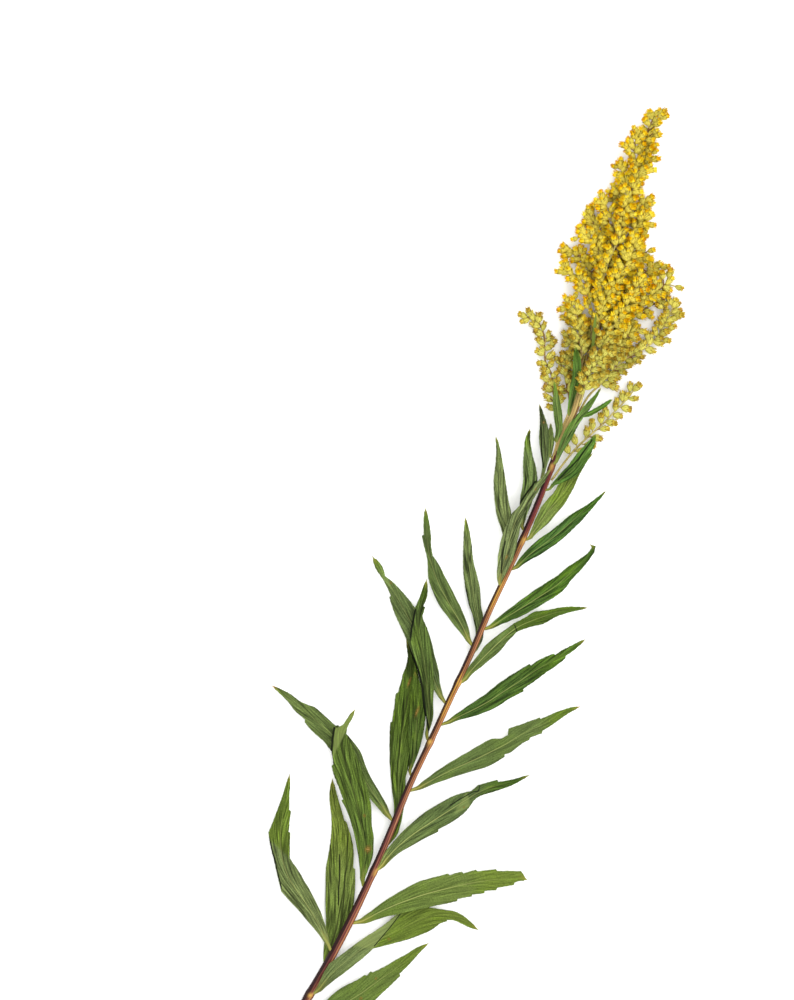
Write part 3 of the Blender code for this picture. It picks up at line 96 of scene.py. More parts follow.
# One row for each leaf: the height on the stem where it grows, the side it grows from (degrees round the
# stem: 0 right, 90 front, 180 left, 270 back), how much its edges lift over its midrib, how much it waves,
# the place of its tip, and cross-sections from foot to tip. Each gives its left edge (X, Y), its right edge
# (X, Y), its height, and the edges that have a tooth there, if any. Left and right are those of a look from
# foot to tip. The tilt is how much higher the left edge is than the right one at some shares of the length.
LEAVES = {
    "leaf_right_1": leaf_row(15.5, 0, 0.9, 0.5, (42.4, 71.8, 0.7), [
        (7.0, 24.0, 11.5, 20.5, 2.9), (10.8, 32.2, 18.8, 26.2, 2.9), (14.4, 39.6, 24.6, 32.0, 2.8),
        (18.7, 44.6, 28.8, 37.8, 2.5), (22.3, 49.3, 31.4, 43.6, 2.2, "left"),
        (23.9, 51.5, 33.0, 47.2, 2.1, "left"), (30.0, 57.2, 36.3, 54.3, 1.7, "right"),
        (33.8, 62.1, 37.8, 59.9, 1.4), (38.0, 67.5, 40.3, 66.6, 1.0)]),
    "leaf_right_2": leaf_row(33.8, 40, 0.6, 0.2, (60.0, 84.3, 0.6), [
        (5.7, 42.0, 9.6, 39.8, 5.8), (6.6, 48.4, 14.0, 47.2, 5.5), (10.6, 54.8, 18.2, 54.4, 4.4),
        (14.8, 61.6, 21.4, 60.8, 3.3), (18.6, 67.0, 27.6, 65.3, 2.7), (22.4, 72.6, 34.8, 70.9, 2.1),
        (26.4, 79.2, 40.2, 76.0, 1.6), (34.0, 84.6, 43.8, 81.2, 1.3),
        (39.5, 86.2, 46.0, 82.9, 1.1, "right"), (47.6, 87.9, 49.0, 84.4, 0.9),
        (53.0, 87.2, 54.5, 84.0, 0.8)],
        tilt=[(0, 0), (0.1, 0.9), (0.2, 1.6), (0.33, 0.9), (0.45, 0), (1, 0)]),
    "leaf_right_3": leaf_row(67.5, 0, 0.9, 0.4, (70.9, 111.5, 0.7), [
        (12.4, 71.8, 15.2, 70.2, 5.0), (17.5, 80.0, 20.6, 74.8, 4.7), (22.6, 87.2, 28.4, 80.2, 4.5),
        (28.6, 94.1, 36.0, 85.4, 4.2), (38.6, 101.8, 46.5, 92.5, 3.7, "left", "right"),
        (43.6, 104.7, 51.5, 96.6, 3.2, "left", "right"), (48.8, 107.6, 55.9, 99.8, 2.6, "left", "right"),
        (56.7, 111.0, 60.0, 102.8, 1.9, "left", "right"), (61.6, 112.2, 66.3, 107.7, 1.3, "right"),
        (66.8, 114.0, 68.8, 110.4, 1.0)]),
    "leaf_right_4": leaf_row(92, 35, 0.7, 0.3, (55.4, 153.1, 0.8), [
        (10.5, 98.2, 13.6, 96.9, 6.4), (12.3, 105.8, 17.2, 103.2, 5.9), (15.8, 114.3, 22.2, 109.6, 5.4),
        (20.8, 123.3, 28.2, 116.6, 4.8, "right"), (25.2, 129.0, 33.2, 123.9, 4.3),
        (31.2, 135.2, 36.4, 130.6, 3.8), (34.8, 137.6, 37.4, 134.2, 3.6), (36.4, 141.0, 38.6, 136.4, 3.4),
        (43.1, 145.9, 45.0, 141.8, 2.6, "left"), (48.6, 148.2, 49.6, 146.0, 1.8)],
        tilt=[(0, 0), (0.1, 0.9), (0.2, 0.5), (0.6, 0), (0.7, 1.4), (0.76, -1.6), (1, 0)]),
    "leaf_right_5": leaf_row(128, 0, 0.9, 0.4, (64.3, 187.8, 0.7), [
        (14.6, 134.2, 17.2, 132.6, 5.4), (20.8, 143.9, 25.0, 139.7, 5.2), (27.2, 152.2, 33.0, 146.3, 4.7),
        (31.6, 157.9, 38.8, 151.2, 4.4), (34.4, 161.2, 42.3, 156.2, 4.0, "right"),
        (38.2, 162.6, 43.8, 158.6, 3.8), (40.0, 165.1, 45.4, 161.2, 3.6), (39.4, 167.6, 46.8, 163.4, 3.5),
        (45.4, 172.9, 49.3, 166.5, 3.0, "right"), (49.7, 176.8, 53.2, 171.0, 2.4, "left", "right"),
        (54.9, 181.0, 56.4, 176.6, 1.8), (58.9, 184.5, 59.8, 182.0, 1.2)]),
    "leaf_right_6": leaf_row(158.5, 0, 0.9, 0.4, (55.6, 214.7, 0.7), [
        (15.6, 163.4, 17.4, 162.0, 5.7), (20.2, 170.6, 24.4, 167.4, 5.4), (25.3, 178.0, 30.3, 173.0, 5.0),
        (28.8, 184.4, 36.0, 180.6, 4.6), (31.5, 188.2, 39.4, 184.6, 4.2, "right"),
        (37.3, 196.1, 42.2, 190.3, 3.6, "left"), (41.0, 199.8, 45.4, 195.6, 3.1),
        (45.2, 203.9, 48.4, 199.9, 2.6, "left"), (48.2, 206.8, 50.5, 203.8, 2.1, "right"),
        (51.5, 210.6, 53.0, 208.8, 1.4)]),
    "leaf_right_7": leaf_row(178, 30, 0.6, 0.2, (51.7, 227.2, 0.8), [
        (14.0, 184.6, 16.4, 182.4, 7.1), (15.7, 190.8, 19.8, 188.8, 6.7), (18.0, 198.0, 23.6, 196.0, 6.2),
        (22.0, 204.8, 26.2, 203.4, 5.5), (25.0, 209.4, 27.6, 206.6, 5.0), (28.4, 213.6, 32.4, 211.0, 4.4),
        (31.4, 217.3, 36.6, 213.8, 3.9), (36.2, 220.0, 39.4, 217.5, 3.2), (41.0, 223.2, 43.0, 220.9, 2.4),
        (46.4, 225.6, 47.6, 224.2, 1.5)],
        tilt=[(0, 0), (0.1, 0.6), (0.3, 0), (0.45, 0.8), (0.55, -0.8), (0.7, 0), (1, 0)]),
    "leaf_right_8": leaf_row(202.5, 0, 0.9, 0.4, (41.9, 252.2, 1.5), [
        (17.6, 208.8, 20.0, 206.8, 6.1), (22.9, 217.8, 27.2, 214.0, 5.6), (28.2, 226.4, 34.2, 222.8, 4.9),
        (33.0, 232.9, 38.8, 229.6, 4.2), (37.9, 241.1, 40.9, 236.4, 3.4),
        (41.6, 246.4, 43.2, 242.2, 2.6), (43.2, 250.2, 45.3, 249.6, 1.9), (43.4, 251.2, 44.8, 252.3, 1.7)]),
    "leaf_right_9": leaf_row(230, 0, 0.8, 0.4, (40.1, 275.7, 1.0), [
        (16.9, 235.4, 19.6, 234.2, 6.2), (20.2, 243.9, 25.0, 241.2, 5.7), (25.0, 251.7, 30.2, 249.2, 4.9),
        (27.8, 256.6, 32.8, 254.6, 4.4), (30.3, 261.2, 35.2, 260.0, 3.7), (34.6, 266.7, 37.2, 265.8, 2.7),
        (37.8, 271.8, 39.0, 271.0, 1.8)]),
    "leaf_right_10": leaf_row(243.5, 0, 0.7, 0.3, (29.0, 288.0, 2.0), [
        (16.9, 248.5, 19.4, 247.4, 6.2), (17.0, 255.0, 22.6, 253.8, 6.0), (17.6, 260.6, 24.6, 259.8, 5.6),
        (19.6, 265.8, 26.2, 265.6, 5.0), (20.8, 271.5, 26.9, 271.2, 4.3), (22.4, 277.0, 27.1, 277.2, 3.6),
        (25.4, 282.6, 27.9, 282.8, 2.8)]),
    "leaf_right_11": leaf_row(266, 20, 1.1, 0.2, (27.0, 295.8, 5.8), [
        (17.9, 270.4, 19.2, 269.6, 7.9), (19.5, 275.2, 22.4, 272.4, 7.9), (21.0, 279.0, 26.2, 276.4, 7.6),
        (22.2, 283.4, 27.5, 282.2, 7.3), (23.6, 287.6, 28.2, 287.2, 6.8), (25.2, 291.8, 28.2, 291.6, 6.3)]),
    "leaf_right_12": leaf_row(277.5, 62, 0.4, 0.2, (21.7, 314.6, 9.3), [
        (14.6, 284.0, 17.0, 283.4, 9.7), (14.2, 290.4, 18.2, 290.0, 10.1), (15.2, 296.0, 18.7, 295.6, 10.3),
        (16.6, 300.6, 19.4, 299.6, 10.2), (18.3, 305.6, 20.8, 304.8, 10.0),
        (20.0, 310.0, 21.5, 309.6, 9.7)]),
    "leaf_right_13": leaf_row(296.5, 0, 0.2, 0.1, (28.0, 311.8, 5.8), [
        (18.6, 301.5, 19.6, 300.4, 7.2), (21.2, 304.0, 22.2, 302.0, 6.9), (23.4, 306.8, 25.0, 305.6, 6.5),
        (25.6, 309.6, 26.8, 308.4, 6.1)]),
    "leaf_left_1": leaf_row(53.5, 165, 0.8, 0.3, (-38.6, 115.8, 0.6), [
        (1.6, 55.4, 2.6, 57.6, 4.9), (-4.0, 58.9, -1.0, 62.6, 4.7), (-10.5, 62.4, -7.2, 69.3, 4.4),
        (-17.0, 65.6, -13.9, 74.8, 4.1), (-23.4, 68.6, -20.0, 79.5, 3.8), (-29.4, 77.2, -25.3, 82.9, 3.4),
        (-34.2, 83.8, -27.2, 87.8, 3.0), (-37.6, 89.5, -29.0, 92.9, 2.6, "right"),
        (-37.7, 100.2, -32.2, 101.3, 1.9, "right"), (-38.0, 107.0, -35.3, 107.6, 1.2)]),
    "leaf_left_2": leaf_row(46, 262, 0.5, 0.3, (-21.4, 120.4, 0.6), [
        (2.6, 51.5, 7.0, 52.5, 1.3), (-0.4, 61.5, 8.4, 62.5, 1.1), (-4.2, 70.6, 7.2, 73.0, 1.2),
        (-7.4, 78.4, 5.0, 81.0, 1.3), (-10.0, 86.2, 2.0, 88.8, 1.3, "right"),
        (-13.0, 99.0, -3.4, 99.0, 1.2), (-16.0, 106.2, -8.8, 105.6, 1.1, "right"),
        (-19.2, 112.2, -14.6, 112.0, 0.9)]),
    "leaf_left_3": leaf_row(83.5, 180, 0.7, 0.3, (-23.2, 151.6, 4.1), [
        (4.4, 88.0, 7.0, 89.6, 5.4), (0.6, 95.2, 6.6, 97.0, 5.5), (-4.2, 102.6, 4.4, 103.4, 5.5),
        (-9.6, 109.4, 1.0, 109.8, 5.5), (-14.2, 113.6, -3.0, 118.0, 5.4, "left"),
        (-20.1, 121.0, -8.0, 124.8, 5.2), (-23.6, 125.4, -13.6, 131.4, 5.1, "left"),
        (-27.0, 133.6, -19.6, 137.2, 4.9), (-28.6, 139.8, -22.8, 140.2, 4.7),
        (-25.6, 143.0, -23.4, 143.0, 4.5), (-24.8, 147.4, -22.9, 147.4, 4.3)],
        tilt=[(0, 0), (0.7, 0), (0.8, 1.4), (0.86, -1.0), (1, 0)]),
    "leaf_left_4": leaf_row(113.7, 180, 0.6, 0.3, (-59.8, 147.2, 0.6), [
        (3.6, 115.0, 5.2, 117.8, 3.9), (-2.9, 118.4, -0.2, 122.2, 3.4), (-8.6, 121.8, -5.8, 126.6, 3.0),
        (-14.5, 124.8, -10.2, 130.6, 2.6), (-20.4, 128.0, -14.8, 135.6, 2.2),
        (-26.2, 131.2, -20.6, 139.0, 1.9), (-30.8, 133.6, -27.4, 142.2, 1.6, "right"),
        (-37.4, 136.2, -33.8, 143.6, 1.4), (-40.8, 138.0, -39.6, 145.5, 1.2, "left"),
        (-46.2, 140.8, -45.4, 145.4, 1.0), (-51.2, 143.6, -51.4, 146.8, 0.8)]),
    "leaf_left_5": leaf_row(103, 305, 0.4, 0.2, (-14.8, 187.0, 0.6), [
        (9.4, 109.0, 12.8, 109.0, 2.5), (7.8, 117.8, 11.6, 118.6, 2.1), (4.4, 124.2, 9.4, 126.4, 1.8),
        (0.8, 131.2, 7.2, 132.6, 1.6), (-3.0, 139.4, 6.4, 139.8, 1.5),
        (-7.6, 151.5, 4.4, 150.6, 1.4, "left"), (-9.9, 163.6, 0.4, 165.0, 1.3, "left"),
        (-10.1, 172.0, -3.2, 172.6, 1.2), (-10.8, 179.0, -7.6, 179.8, 1.0)]),
    "leaf_left_6": leaf_row(150.5, 180, 0.8, 0.3, (-15.9, 213.0, 4.6), [
        (6.4, 157.3, 8.4, 159.4, 5.8), (1.8, 165.2, 5.8, 166.8, 5.6), (-2.6, 172.2, 2.8, 174.6, 5.4),
        (-7.2, 179.0, -0.8, 182.4, 5.2), (-11.0, 183.8, -4.2, 188.6, 5.1),
        (-13.6, 188.4, -8.2, 194.4, 5.0, "right"), (-15.0, 194.6, -11.8, 197.8, 4.9),
        (-15.9, 200.0, -12.0, 201.8, 4.8, "right"), (-15.9, 205.6, -12.9, 205.8, 4.7)]),
    "leaf_left_7": leaf_row(167.5, 190, 0.6, 0.3, (-40.8, 213.4, 0.6), [
        (4.4, 170.9, 6.4, 173.6, 3.6), (-1.4, 174.4, 2.4, 180.2, 3.2), (-7.0, 179.0, -2.0, 186.2, 2.9),
        (-12.4, 184.6, -6.6, 192.4, 2.7), (-17.0, 188.8, -11.8, 197.2, 2.5),
        (-22.0, 193.6, -18.0, 201.2, 2.3), (-27.6, 199.8, -22.6, 203.8, 2.0, "left"),
        (-30.6, 204.0, -28.2, 206.3, 1.7), (-33.0, 206.0, -32.4, 207.6, 1.4),
        (-36.8, 208.5, -35.2, 210.9, 1.1)]),
    "leaf_left_8": leaf_row(194.3, 180, 0.7, 0.3, (-27.6, 240.5, 0.6), [
        (5.8, 197.2, 7.6, 201.2, 5.6), (-0.6, 200.8, 2.6, 206.4, 5.0), (-6.4, 204.4, -3.5, 212.0, 4.2),
        (-11.4, 208.8, -9.4, 217.0, 3.3), (-15.4, 213.6, -13.8, 220.8, 2.6),
        (-18.5, 220.3, -17.2, 223.0, 2.2), (-21.9, 224.9, -19.4, 226.8, 1.9),
        (-24.5, 229.0, -21.0, 230.3, 1.6, "left"), (-26.2, 234.8, -23.6, 235.2, 1.1)]),
    "leaf_left_9": leaf_row(191, 305, 0.5, 0.3, (-10.6, 243.2, 0.6), [
        (12.2, 198.4, 15.2, 198.8, 3.0), (8.6, 204.6, 12.6, 206.2, 2.5), (4.4, 209.8, 9.6, 210.8, 2.2),
        (0.6, 215.4, 6.8, 216.8, 1.9), (-2.6, 221.2, 2.6, 223.0, 1.7), (-5.4, 227.6, -1.0, 228.0, 1.5),
        (-7.8, 234.4, -4.4, 234.6, 1.2)]),
    "leaf_left_10": leaf_row(222, 130, 0.4, 0.2, (14.8, 275.4, 10.0), [
        (9.4, 229.0, 14.2, 229.4, 8.6), (7.2, 237.0, 14.2, 237.0, 8.9), (6.4, 244.4, 13.0, 244.0, 9.2),
        (6.8, 251.4, 11.8, 251.6, 9.6), (8.6, 256.6, 12.0, 256.2, 9.8), (10.2, 261.8, 13.0, 261.4, 9.9),
        (11.6, 267.6, 14.0, 266.8, 10.0), (13.2, 271.8, 14.9, 271.0, 10.0)]),
    "leaf_left_11": leaf_row(233, 180, 0.8, 0.3, (-11.6, 279.6, 0.7), [
        (9.6, 237.6, 11.6, 240.4, 5.8), (4.8, 244.6, 9.2, 247.2, 5.4), (1.6, 248.2, 6.6, 251.8, 4.9),
        (-2.0, 254.4, 3.2, 257.0, 4.2), (-5.2, 261.6, -0.6, 263.4, 3.2), (-7.6, 269.4, -4.2, 269.6, 2.2),
        (-9.6, 275.4, -8.2, 275.8, 1.3)]),
    "leaf_left_12": leaf_row(247, 180, 0.6, 0.3, (0.7, 287.8, 1.6), [
        (10.2, 252.0, 13.0, 253.4, 6.4), (7.6, 259.4, 12.9, 261.0, 6.2), (6.0, 266.6, 11.9, 268.2, 5.6),
        (3.8, 272.0, 8.8, 273.8, 4.8), (1.9, 277.4, 5.4, 278.4, 3.8), (0.5, 283.0, 2.4, 283.6, 2.6)]),
    "leaf_left_13": leaf_row(269, 180, 0.6, 0.3, (0.5, 298.6, 2.6), [
        (11.0, 275.4, 12.9, 277.0, 6.6), (8.6, 279.6, 12.6, 282.0, 5.9), (5.6, 285.4, 10.2, 287.0, 5.4),
        (3.6, 291.2, 7.4, 291.0, 4.2), (2.0, 295.0, 4.2, 295.0, 3.3)]),
    "leaf_left_14": leaf_row(279.5, 155, 0.15, 0.1, (7.8, 292.8, 7.3), [
        (9.6, 286.4, 11.6, 287.4, 7.9), (8.2, 289.6, 9.9, 290.2, 7.6)]),
    "leaf_left_15": leaf_row(286, 150, 0.6, 0.2, (2.4, 310.0, 8.3), [
        (10.6, 291.0, 13.2, 292.4, 9.3), (7.8, 296.0, 11.4, 297.0, 9.3), (5.4, 301.0, 8.6, 301.8, 9.0),
        (3.8, 305.6, 5.8, 305.8, 8.7)]),
    "leaf_left_16": leaf_row(134, 185, 0.3, 0.15, (-6.0, 175.2, 2.3), [
        (5.6, 141.0, 8.2, 142.4, 4.0), (2.4, 147.6, 7.6, 149.4, 3.5), (-0.6, 155.0, 6.2, 156.2, 3.3),
        (-3.0, 162.4, 3.8, 163.0, 3.1), (-5.0, 169.0, -0.4, 169.2, 2.7)]),
    "bract_leaf": leaf_row(298.5, 150, 0.4, 0.2, (5.3, 326.6, 10.2), [
        (9.8, 308.6, 12.8, 309.4, 9.8), (8.2, 316.0, 11.6, 317.6, 10.2), (6.2, 321.6, 8.8, 323.0, 10.2)]),
}

# Flower heads: a bell of overlapping bracts, widest near the rim, with withered florets above it
HEAD_SIDES = 4
HEAD_LENGTH = 6.0
HEAD_RADIUS = 2.35
HEAD_RIM = 0.78
STALK_RADIUS = 0.42
# A head's size and the length of its stalk differ by these factors.
HEAD_SIZES = (0.88, 1.06)
STALK_FACTORS = (0.4, 1.5)
# Degrees between the twig and a head on its side or at its tip
SIDE_SPREAD = (34, 66)
TIP_SPREAD = (0, 14)
# Small balls stand for a head where it is kept clear of others: one for each corner of its rim, some along
# its middle line (share of its length, share of its radius), and one for its bell.
CORNER_BEAD = 0.5
HEAD_BEADS = ((0.25, 0.30), (0.44, 0.56), (0.78, 0.70), (0.93, 0.25))
BELL_BEAD = (0.62, 0.74)
STALK_BEAD_STEP = 0.7
# How far a head's root lies behind the twig's middle line, along the twig and at its tip
ROOT_SINK = 0.2
TIP_SINK = 1.0
# Twigs are round stalks that taper to their tips.
TWIG_FOOT_RADIUS = 0.62
TWIG_TIP_RADIUS = 0.42
TWIG_STEP = 6.5
TWIG_BEAD_STEP = 0.8
# No head of a twig reaches further from it than this.
REACH = 14.0
# How many ways a head is turned before its place is left empty
TURNS_TRIED = 40
# Share of their joined radii that two heads of one spray stay apart
OWN_SPACING = 0.98


def spray_row(at, side, bare, route, step=2.1, stalk=0.0, lean=(-25, 45)):
    return dict(at=at, side=side, bare=bare, route=route, step=step, stalk=stalk, lean=lean)


# One row for each spray: the height on the stem where it grows, the side it grows from, the share of its
# twig that is bare, and the places that its twig runs through. Where a spray differs from the others, also
# the distance between its heads along the twig, the length of the heads' own stalks, and the lowest and
# highest lean of its heads out of the flat in degrees. A spray without a side goes on from the end of the
# stem.
SPRAYS = {
    "spray_low_left": spray_row(289, 200, 0.2, step=2.0, stalk=0.3, lean=(-20, 45), route=[
        (8, 299, 6.0), (3, 307, 5.2), (0.5, 312, 4.6), (-3.8, 316, 4.0), (-6.3, 321, 3.6), (-8.5, 326, 3.4),
        (-13, 330.3, 3.3), (-18.4, 330.6, 3.2)]),
    "spray_low_right": spray_row(272, 345, 0.24, step=2.3, stalk=1.2, lean=(-20, 40), route=[
        (19, 279, 5.3), (21.5, 287, 4.4), (25, 294.5, 3.8), (28.5, 301.5, 3.5), (31, 308, 3.4),
        (33.5, 314, 3.3), (34.8, 318.5, 3.3)]),
    "spray_left_0": spray_row(301, 205, 0.35, step=2.0, route=[
        (10, 307.5, 5.8), (6.6, 312.5, 4.4), (4.6, 317, 3.7), (3.8, 320, 3.5)]),
    "spray_left_1": spray_row(311, 235, 0.25, lean=(-20, 40), route=[
        (9.6, 319, 5.0), (6.2, 325, 3.8), (2.6, 329, 3.4)]),
    "spray_left_2": spray_row(317, 180, 0.2, route=[
        (8.2, 326, 8.4), (3.6, 334.5, 8.4), (-0.5, 340.5, 8.2), (-4.0, 342.8, 8.0)]),
    "spray_left_3": spray_row(323, 235, 0.25, lean=(-20, 40), route=[
        (9, 330.5, 5.2), (5, 335.3, 3.9), (1.2, 337.3, 3.5)]),
    "spray_left_4": spray_row(333, 180, 0.16, route=[
        (6.5, 342, 8.6), (1.5, 349, 8.5), (-4, 353.3, 8.2), (-9.3, 354, 8.0)]),
    "spray_left_5": spray_row(342, 235, 0.16, lean=(-20, 40), route=[
        (5.5, 351, 5.2), (0, 357.5, 3.9), (-6, 361.5, 3.5), (-12.5, 362.8, 3.3)]),
    "spray_left_6": spray_row(350, 180, 0.14, route=[
        (4, 360, 8.6), (-0.5, 367.3, 8.4), (-4.5, 370.5, 8.2), (-8.8, 371.6, 8.0)]),
    "spray_left_7": spray_row(360, 235, 0.14, lean=(-20, 40), route=[
        (2.5, 369, 5.2), (-2, 374.5, 3.9), (-5.5, 377.5, 3.5), (-9.2, 378.6, 3.3)]),
    "spray_left_8": spray_row(368, 180, 0.12, [(2.2, 377.5, 8.3), (-1.5, 383.5, 8.1), (-5.6, 386.4, 7.8)]),
    "spray_left_9": spray_row(379, 235, 0.16, lean=(-20, 40), route=[
        (1.8, 386.5, 5.0), (-0.8, 391, 3.8), (-3.6, 393.8, 3.4)]),
    "spray_left_10": spray_row(386, 180, 0.12, lean=(-25, 40), route=[
        (1.0, 395, 7.2), (-1.8, 400, 6.5), (-5.2, 403, 6.0)]),
    "spray_left_11": spray_row(394, 165, 0.3, step=2.0, lean=(-30, 45), route=[
        (1.6, 403.5, 8.6), (-1.6, 409.5, 8.9), (-3.4, 415, 8.4), (-3.8, 418.5, 8.0)]),
    "spray_right_1": spray_row(303, 335, 0.2, step=2.4, stalk=0.4, lean=(-20, 35), route=[
        (18.2, 309.5, 6.3), (20.6, 315, 5.3), (22.8, 321, 4.4), (24.8, 326, 3.9), (27.6, 331, 3.6),
        (31.5, 335.5, 3.4), (35, 341, 3.3), (36.6, 349, 3.3), (37.3, 357.2, 3.3)]),
    "spray_right_2": spray_row(313, 0, 0.16, route=[
        (18, 322, 8.2), (20.3, 329.5, 8.2), (22.8, 336, 8.0), (25, 341.2, 7.8)]),
    "spray_right_3": spray_row(320, 300, 0.14, lean=(-20, 40), route=[
        (16.4, 329, 5.2), (19.5, 337, 3.9), (22.5, 345, 3.5), (26, 351.5, 3.4), (30, 356.5, 3.4),
        (33, 360, 3.4)]),
    "spray_right_4": spray_row(327, 0, 0.12, route=[
        (16, 338, 8.6), (19.3, 346.5, 8.4), (23.5, 354, 8.2), (28, 360.5, 8.0), (31, 365.5, 7.8)]),
    "spray_right_5": spray_row(338, 300, 0.12, lean=(-20, 40), route=[
        (13.6, 350, 5.2), (16.5, 358, 3.9), (20, 365, 3.5), (23.6, 370, 3.4)]),
    "spray_right_6": spray_row(348, 0, 0.12, [(12.4, 360, 8.7), (14.6, 368, 8.5), (17, 374.6, 8.2)]),
    "spray_right_7": spray_row(358, 300, 0.12, lean=(-20, 40), route=[
        (9.5, 368, 5.2), (12, 375, 3.9), (13.6, 380.8, 3.5)]),
    "spray_right_8": spray_row(367, 0, 0.12, [(8.4, 377.5, 8.4), (10.4, 383.5, 8.2), (12.3, 387.2, 8.0)]),
    "spray_right_9": spray_row(379, 330, 0.12, [(7.4, 387, 6.4), (9.0, 391, 6.0), (10.2, 394, 5.8)]),
    "spray_front_0": spray_row(305, 65, 0.2, lean=(-15, 40), route=[
        (15.4, 313, 11.0), (15.2, 320, 12.0), (17.6, 327, 12.4)]),
    "spray_front_1": spray_row(321, 70, 0.12, lean=(-20, 40), route=[
        (15.6, 333, 12.0), (17.2, 342, 13.0), (18.8, 351, 13.0), (19.8, 361, 12.8)]),
    "spray_front_2": spray_row(329, 95, 0.12, lean=(-20, 40), route=[
        (10.6, 340, 12.2), (9.8, 350, 13.0), (11.2, 360, 13.0), (12.4, 369, 13.0), (12.2, 376, 12.8)]),
    "spray_front_3": spray_row(344, 115, 0.12, lean=(-20, 40), route=[
        (6.4, 353, 12.0), (4.8, 362, 13.0), (5.0, 371, 13.0), (5.2, 378, 12.6)]),
    "spray_front_4": spray_row(372, 100, 0.14, lean=(-20, 40), route=[
        (3.9, 382, 11.4), (3.0, 390, 12.2), (3.0, 398, 12.2), (2.4, 405, 11.6)]),
    "spray_top": spray_row(400, None, 0.04, step=1.6, stalk=0.5, lean=(-60, 60), route=[
        (3.0, 409, 6.8), (1.0, 416, 6.2), (-0.4, 423, 5.4), (0, 428.4, 4.6)]),
}


def unit(vector):
    """The vector at length one."""
    return vector / np.linalg.norm(vector)


def units(rows):
    """Each row at length one."""
    return rows / np.linalg.norm(rows, axis=1)[:, None]


def run_along(places):
    """How far each place lies from the first one along the line through them."""
    return np.concatenate([[0.0], np.cumsum(np.linalg.norm(np.diff(places, axis=0), axis=1))])


def eased(u, span, start, leaving, end, arriving):
    """A smooth curve from start to end with the slopes that it leaves and arrives with."""
    return (
        (2 * u**3 - 3 * u**2 + 1) * start
        + (u**3 - 2 * u**2 + u) * span * leaving
        + (3 * u**2 - 2 * u**3) * end
        + (u**3 - u**2) * span * arriving
    )


def outward_at(turn):
    """The direction out of the stem at an angle round it."""
    return np.array([math.cos(turn), 0.0, math.sin(turn)])


class Route:
    """A smooth curve through chosen points, read by the share of its length."""

    def __init__(self, points):
        self.points = np.array(points, dtype=float)
        self.reach = run_along(self.points)
        self.length = float(self.reach[-1])
        last = len(self.points) - 1
        self.slopes = np.array([
            (self.points[min(i + 1, last)] - self.points[max(i - 1, 0)])
            / (self.reach[min(i + 1, last)] - self.reach[max(i - 1, 0)])
            for i in range(last + 1)
        ])

    def at(self, share):
        run = min(max(share, 0.0), 1.0) * self.length
        i = min(int(np.searchsorted(self.reach, run, side="right")) - 1, len(self.points) - 2)
        span = self.reach[i + 1] - self.reach[i]
        u = (run - self.reach[i]) / span
        return eased(u, span, self.points[i], self.slopes[i], self.points[i + 1], self.slopes[i + 1])

    def heading(self, share):
        step = 0.5 / self.length
        return unit(self.at(min(share + step, 1.0)) - self.at(max(share - step, 0.0)))


STEM_CURVE = Route(STEM_ROUTE)
STEM_SAMPLES = np.array([STEM_CURVE.at(i / STEM_STEPS) for i in range(STEM_STEPS + 1)])


def stem_place(height):
    """The stem's middle at a height along Y."""
    return np.array([
        np.interp(height, STEM_SAMPLES[:, 1], STEM_SAMPLES[:, 0]),
        height,
        np.interp(height, STEM_SAMPLES[:, 1], STEM_SAMPLES[:, 2]),
    ])


def stem_radius(height):
    """The stem's radius at a height along Y, with the swelling of a scar."""
    heights, radii = zip(*STEM_RADII)
    swell = sum(SCAR_SWELL * math.exp(-((height - scar) / SCAR_LENGTH) ** 2) for scar in STEM_SCARS)
    return float(np.interp(height, heights, radii)) + swell


def seat(height, side, half_width, next_point):
    """Where a leaf or twig starts, so that its foot lies a hair off the stem's bark."""
    outward = outward_at(math.radians(side))
    start = stem_place(height)
    for _ in range(3):
        ahead = np.array(next_point, dtype=float) - start
        slant = math.sqrt(max(0.0, 1.0 - float(np.dot(ahead, outward) / np.linalg.norm(ahead)) ** 2))
        start = stem_place(height) + outward * (stem_radius(height) + SEAT_GAP + half_width * slant)
    return tuple(start)


def frame_at(route, share):
    """Heading of a route there, the flat direction across it, and the direction up from it."""
    heading = route.heading(share)
    across = unit(np.cross(heading, UP))
    return heading, across, np.cross(across, heading)


def blunt_end(place, heading, half_width):
    """Left and right edge of a blade's foot or tip."""
    across = unit(np.cross(heading, UP))
    return place - across * half_width, place + across * half_width


def leaf_edges(leaf):
    """Left and right edge of the blade at each cross-section from foot to tip."""
    rows = leaf["sections"]
    lefts = [np.array([row[0], row[1], row[4]]) for row in rows]
    rights = [np.array([row[2], row[3], row[4]]) for row in rows]
    first = (lefts[0] + rights[0]) / 2
    last = (lefts[-1] + rights[-1]) / 2
    foot = np.array(seat(leaf["at"], leaf["side"], FOOT_HALF, first))
    tip = np.array(leaf["tip"])
    edges = [blunt_end(foot, first - foot, FOOT_HALF)]
    tip_edges = blunt_end(tip, tip - last, TIP_HALF)
    for i, row in enumerate(rows):
        left, right = lefts[i], rights[i]
        edges.append((left, right))
        if "left" in row or "right" in row:
            next_left, next_right = (lefts[i + 1], rights[i + 1]) if i + 1 < len(rows) else tip_edges
            part = TOOTH_STEP / np.linalg.norm((next_left + next_right - left - right) / 2)
            inward = unit(right - left) * TOOTH_DEPTH
            left = left + (next_left - left) * part + inward * ("left" in row)
            right = right + (next_right - right) * part - inward * ("right" in row)
            edges.append((left, right))
    edges.append(tip_edges)
    return np.array([left for left, _ in edges]), np.array([right for _, right in edges])


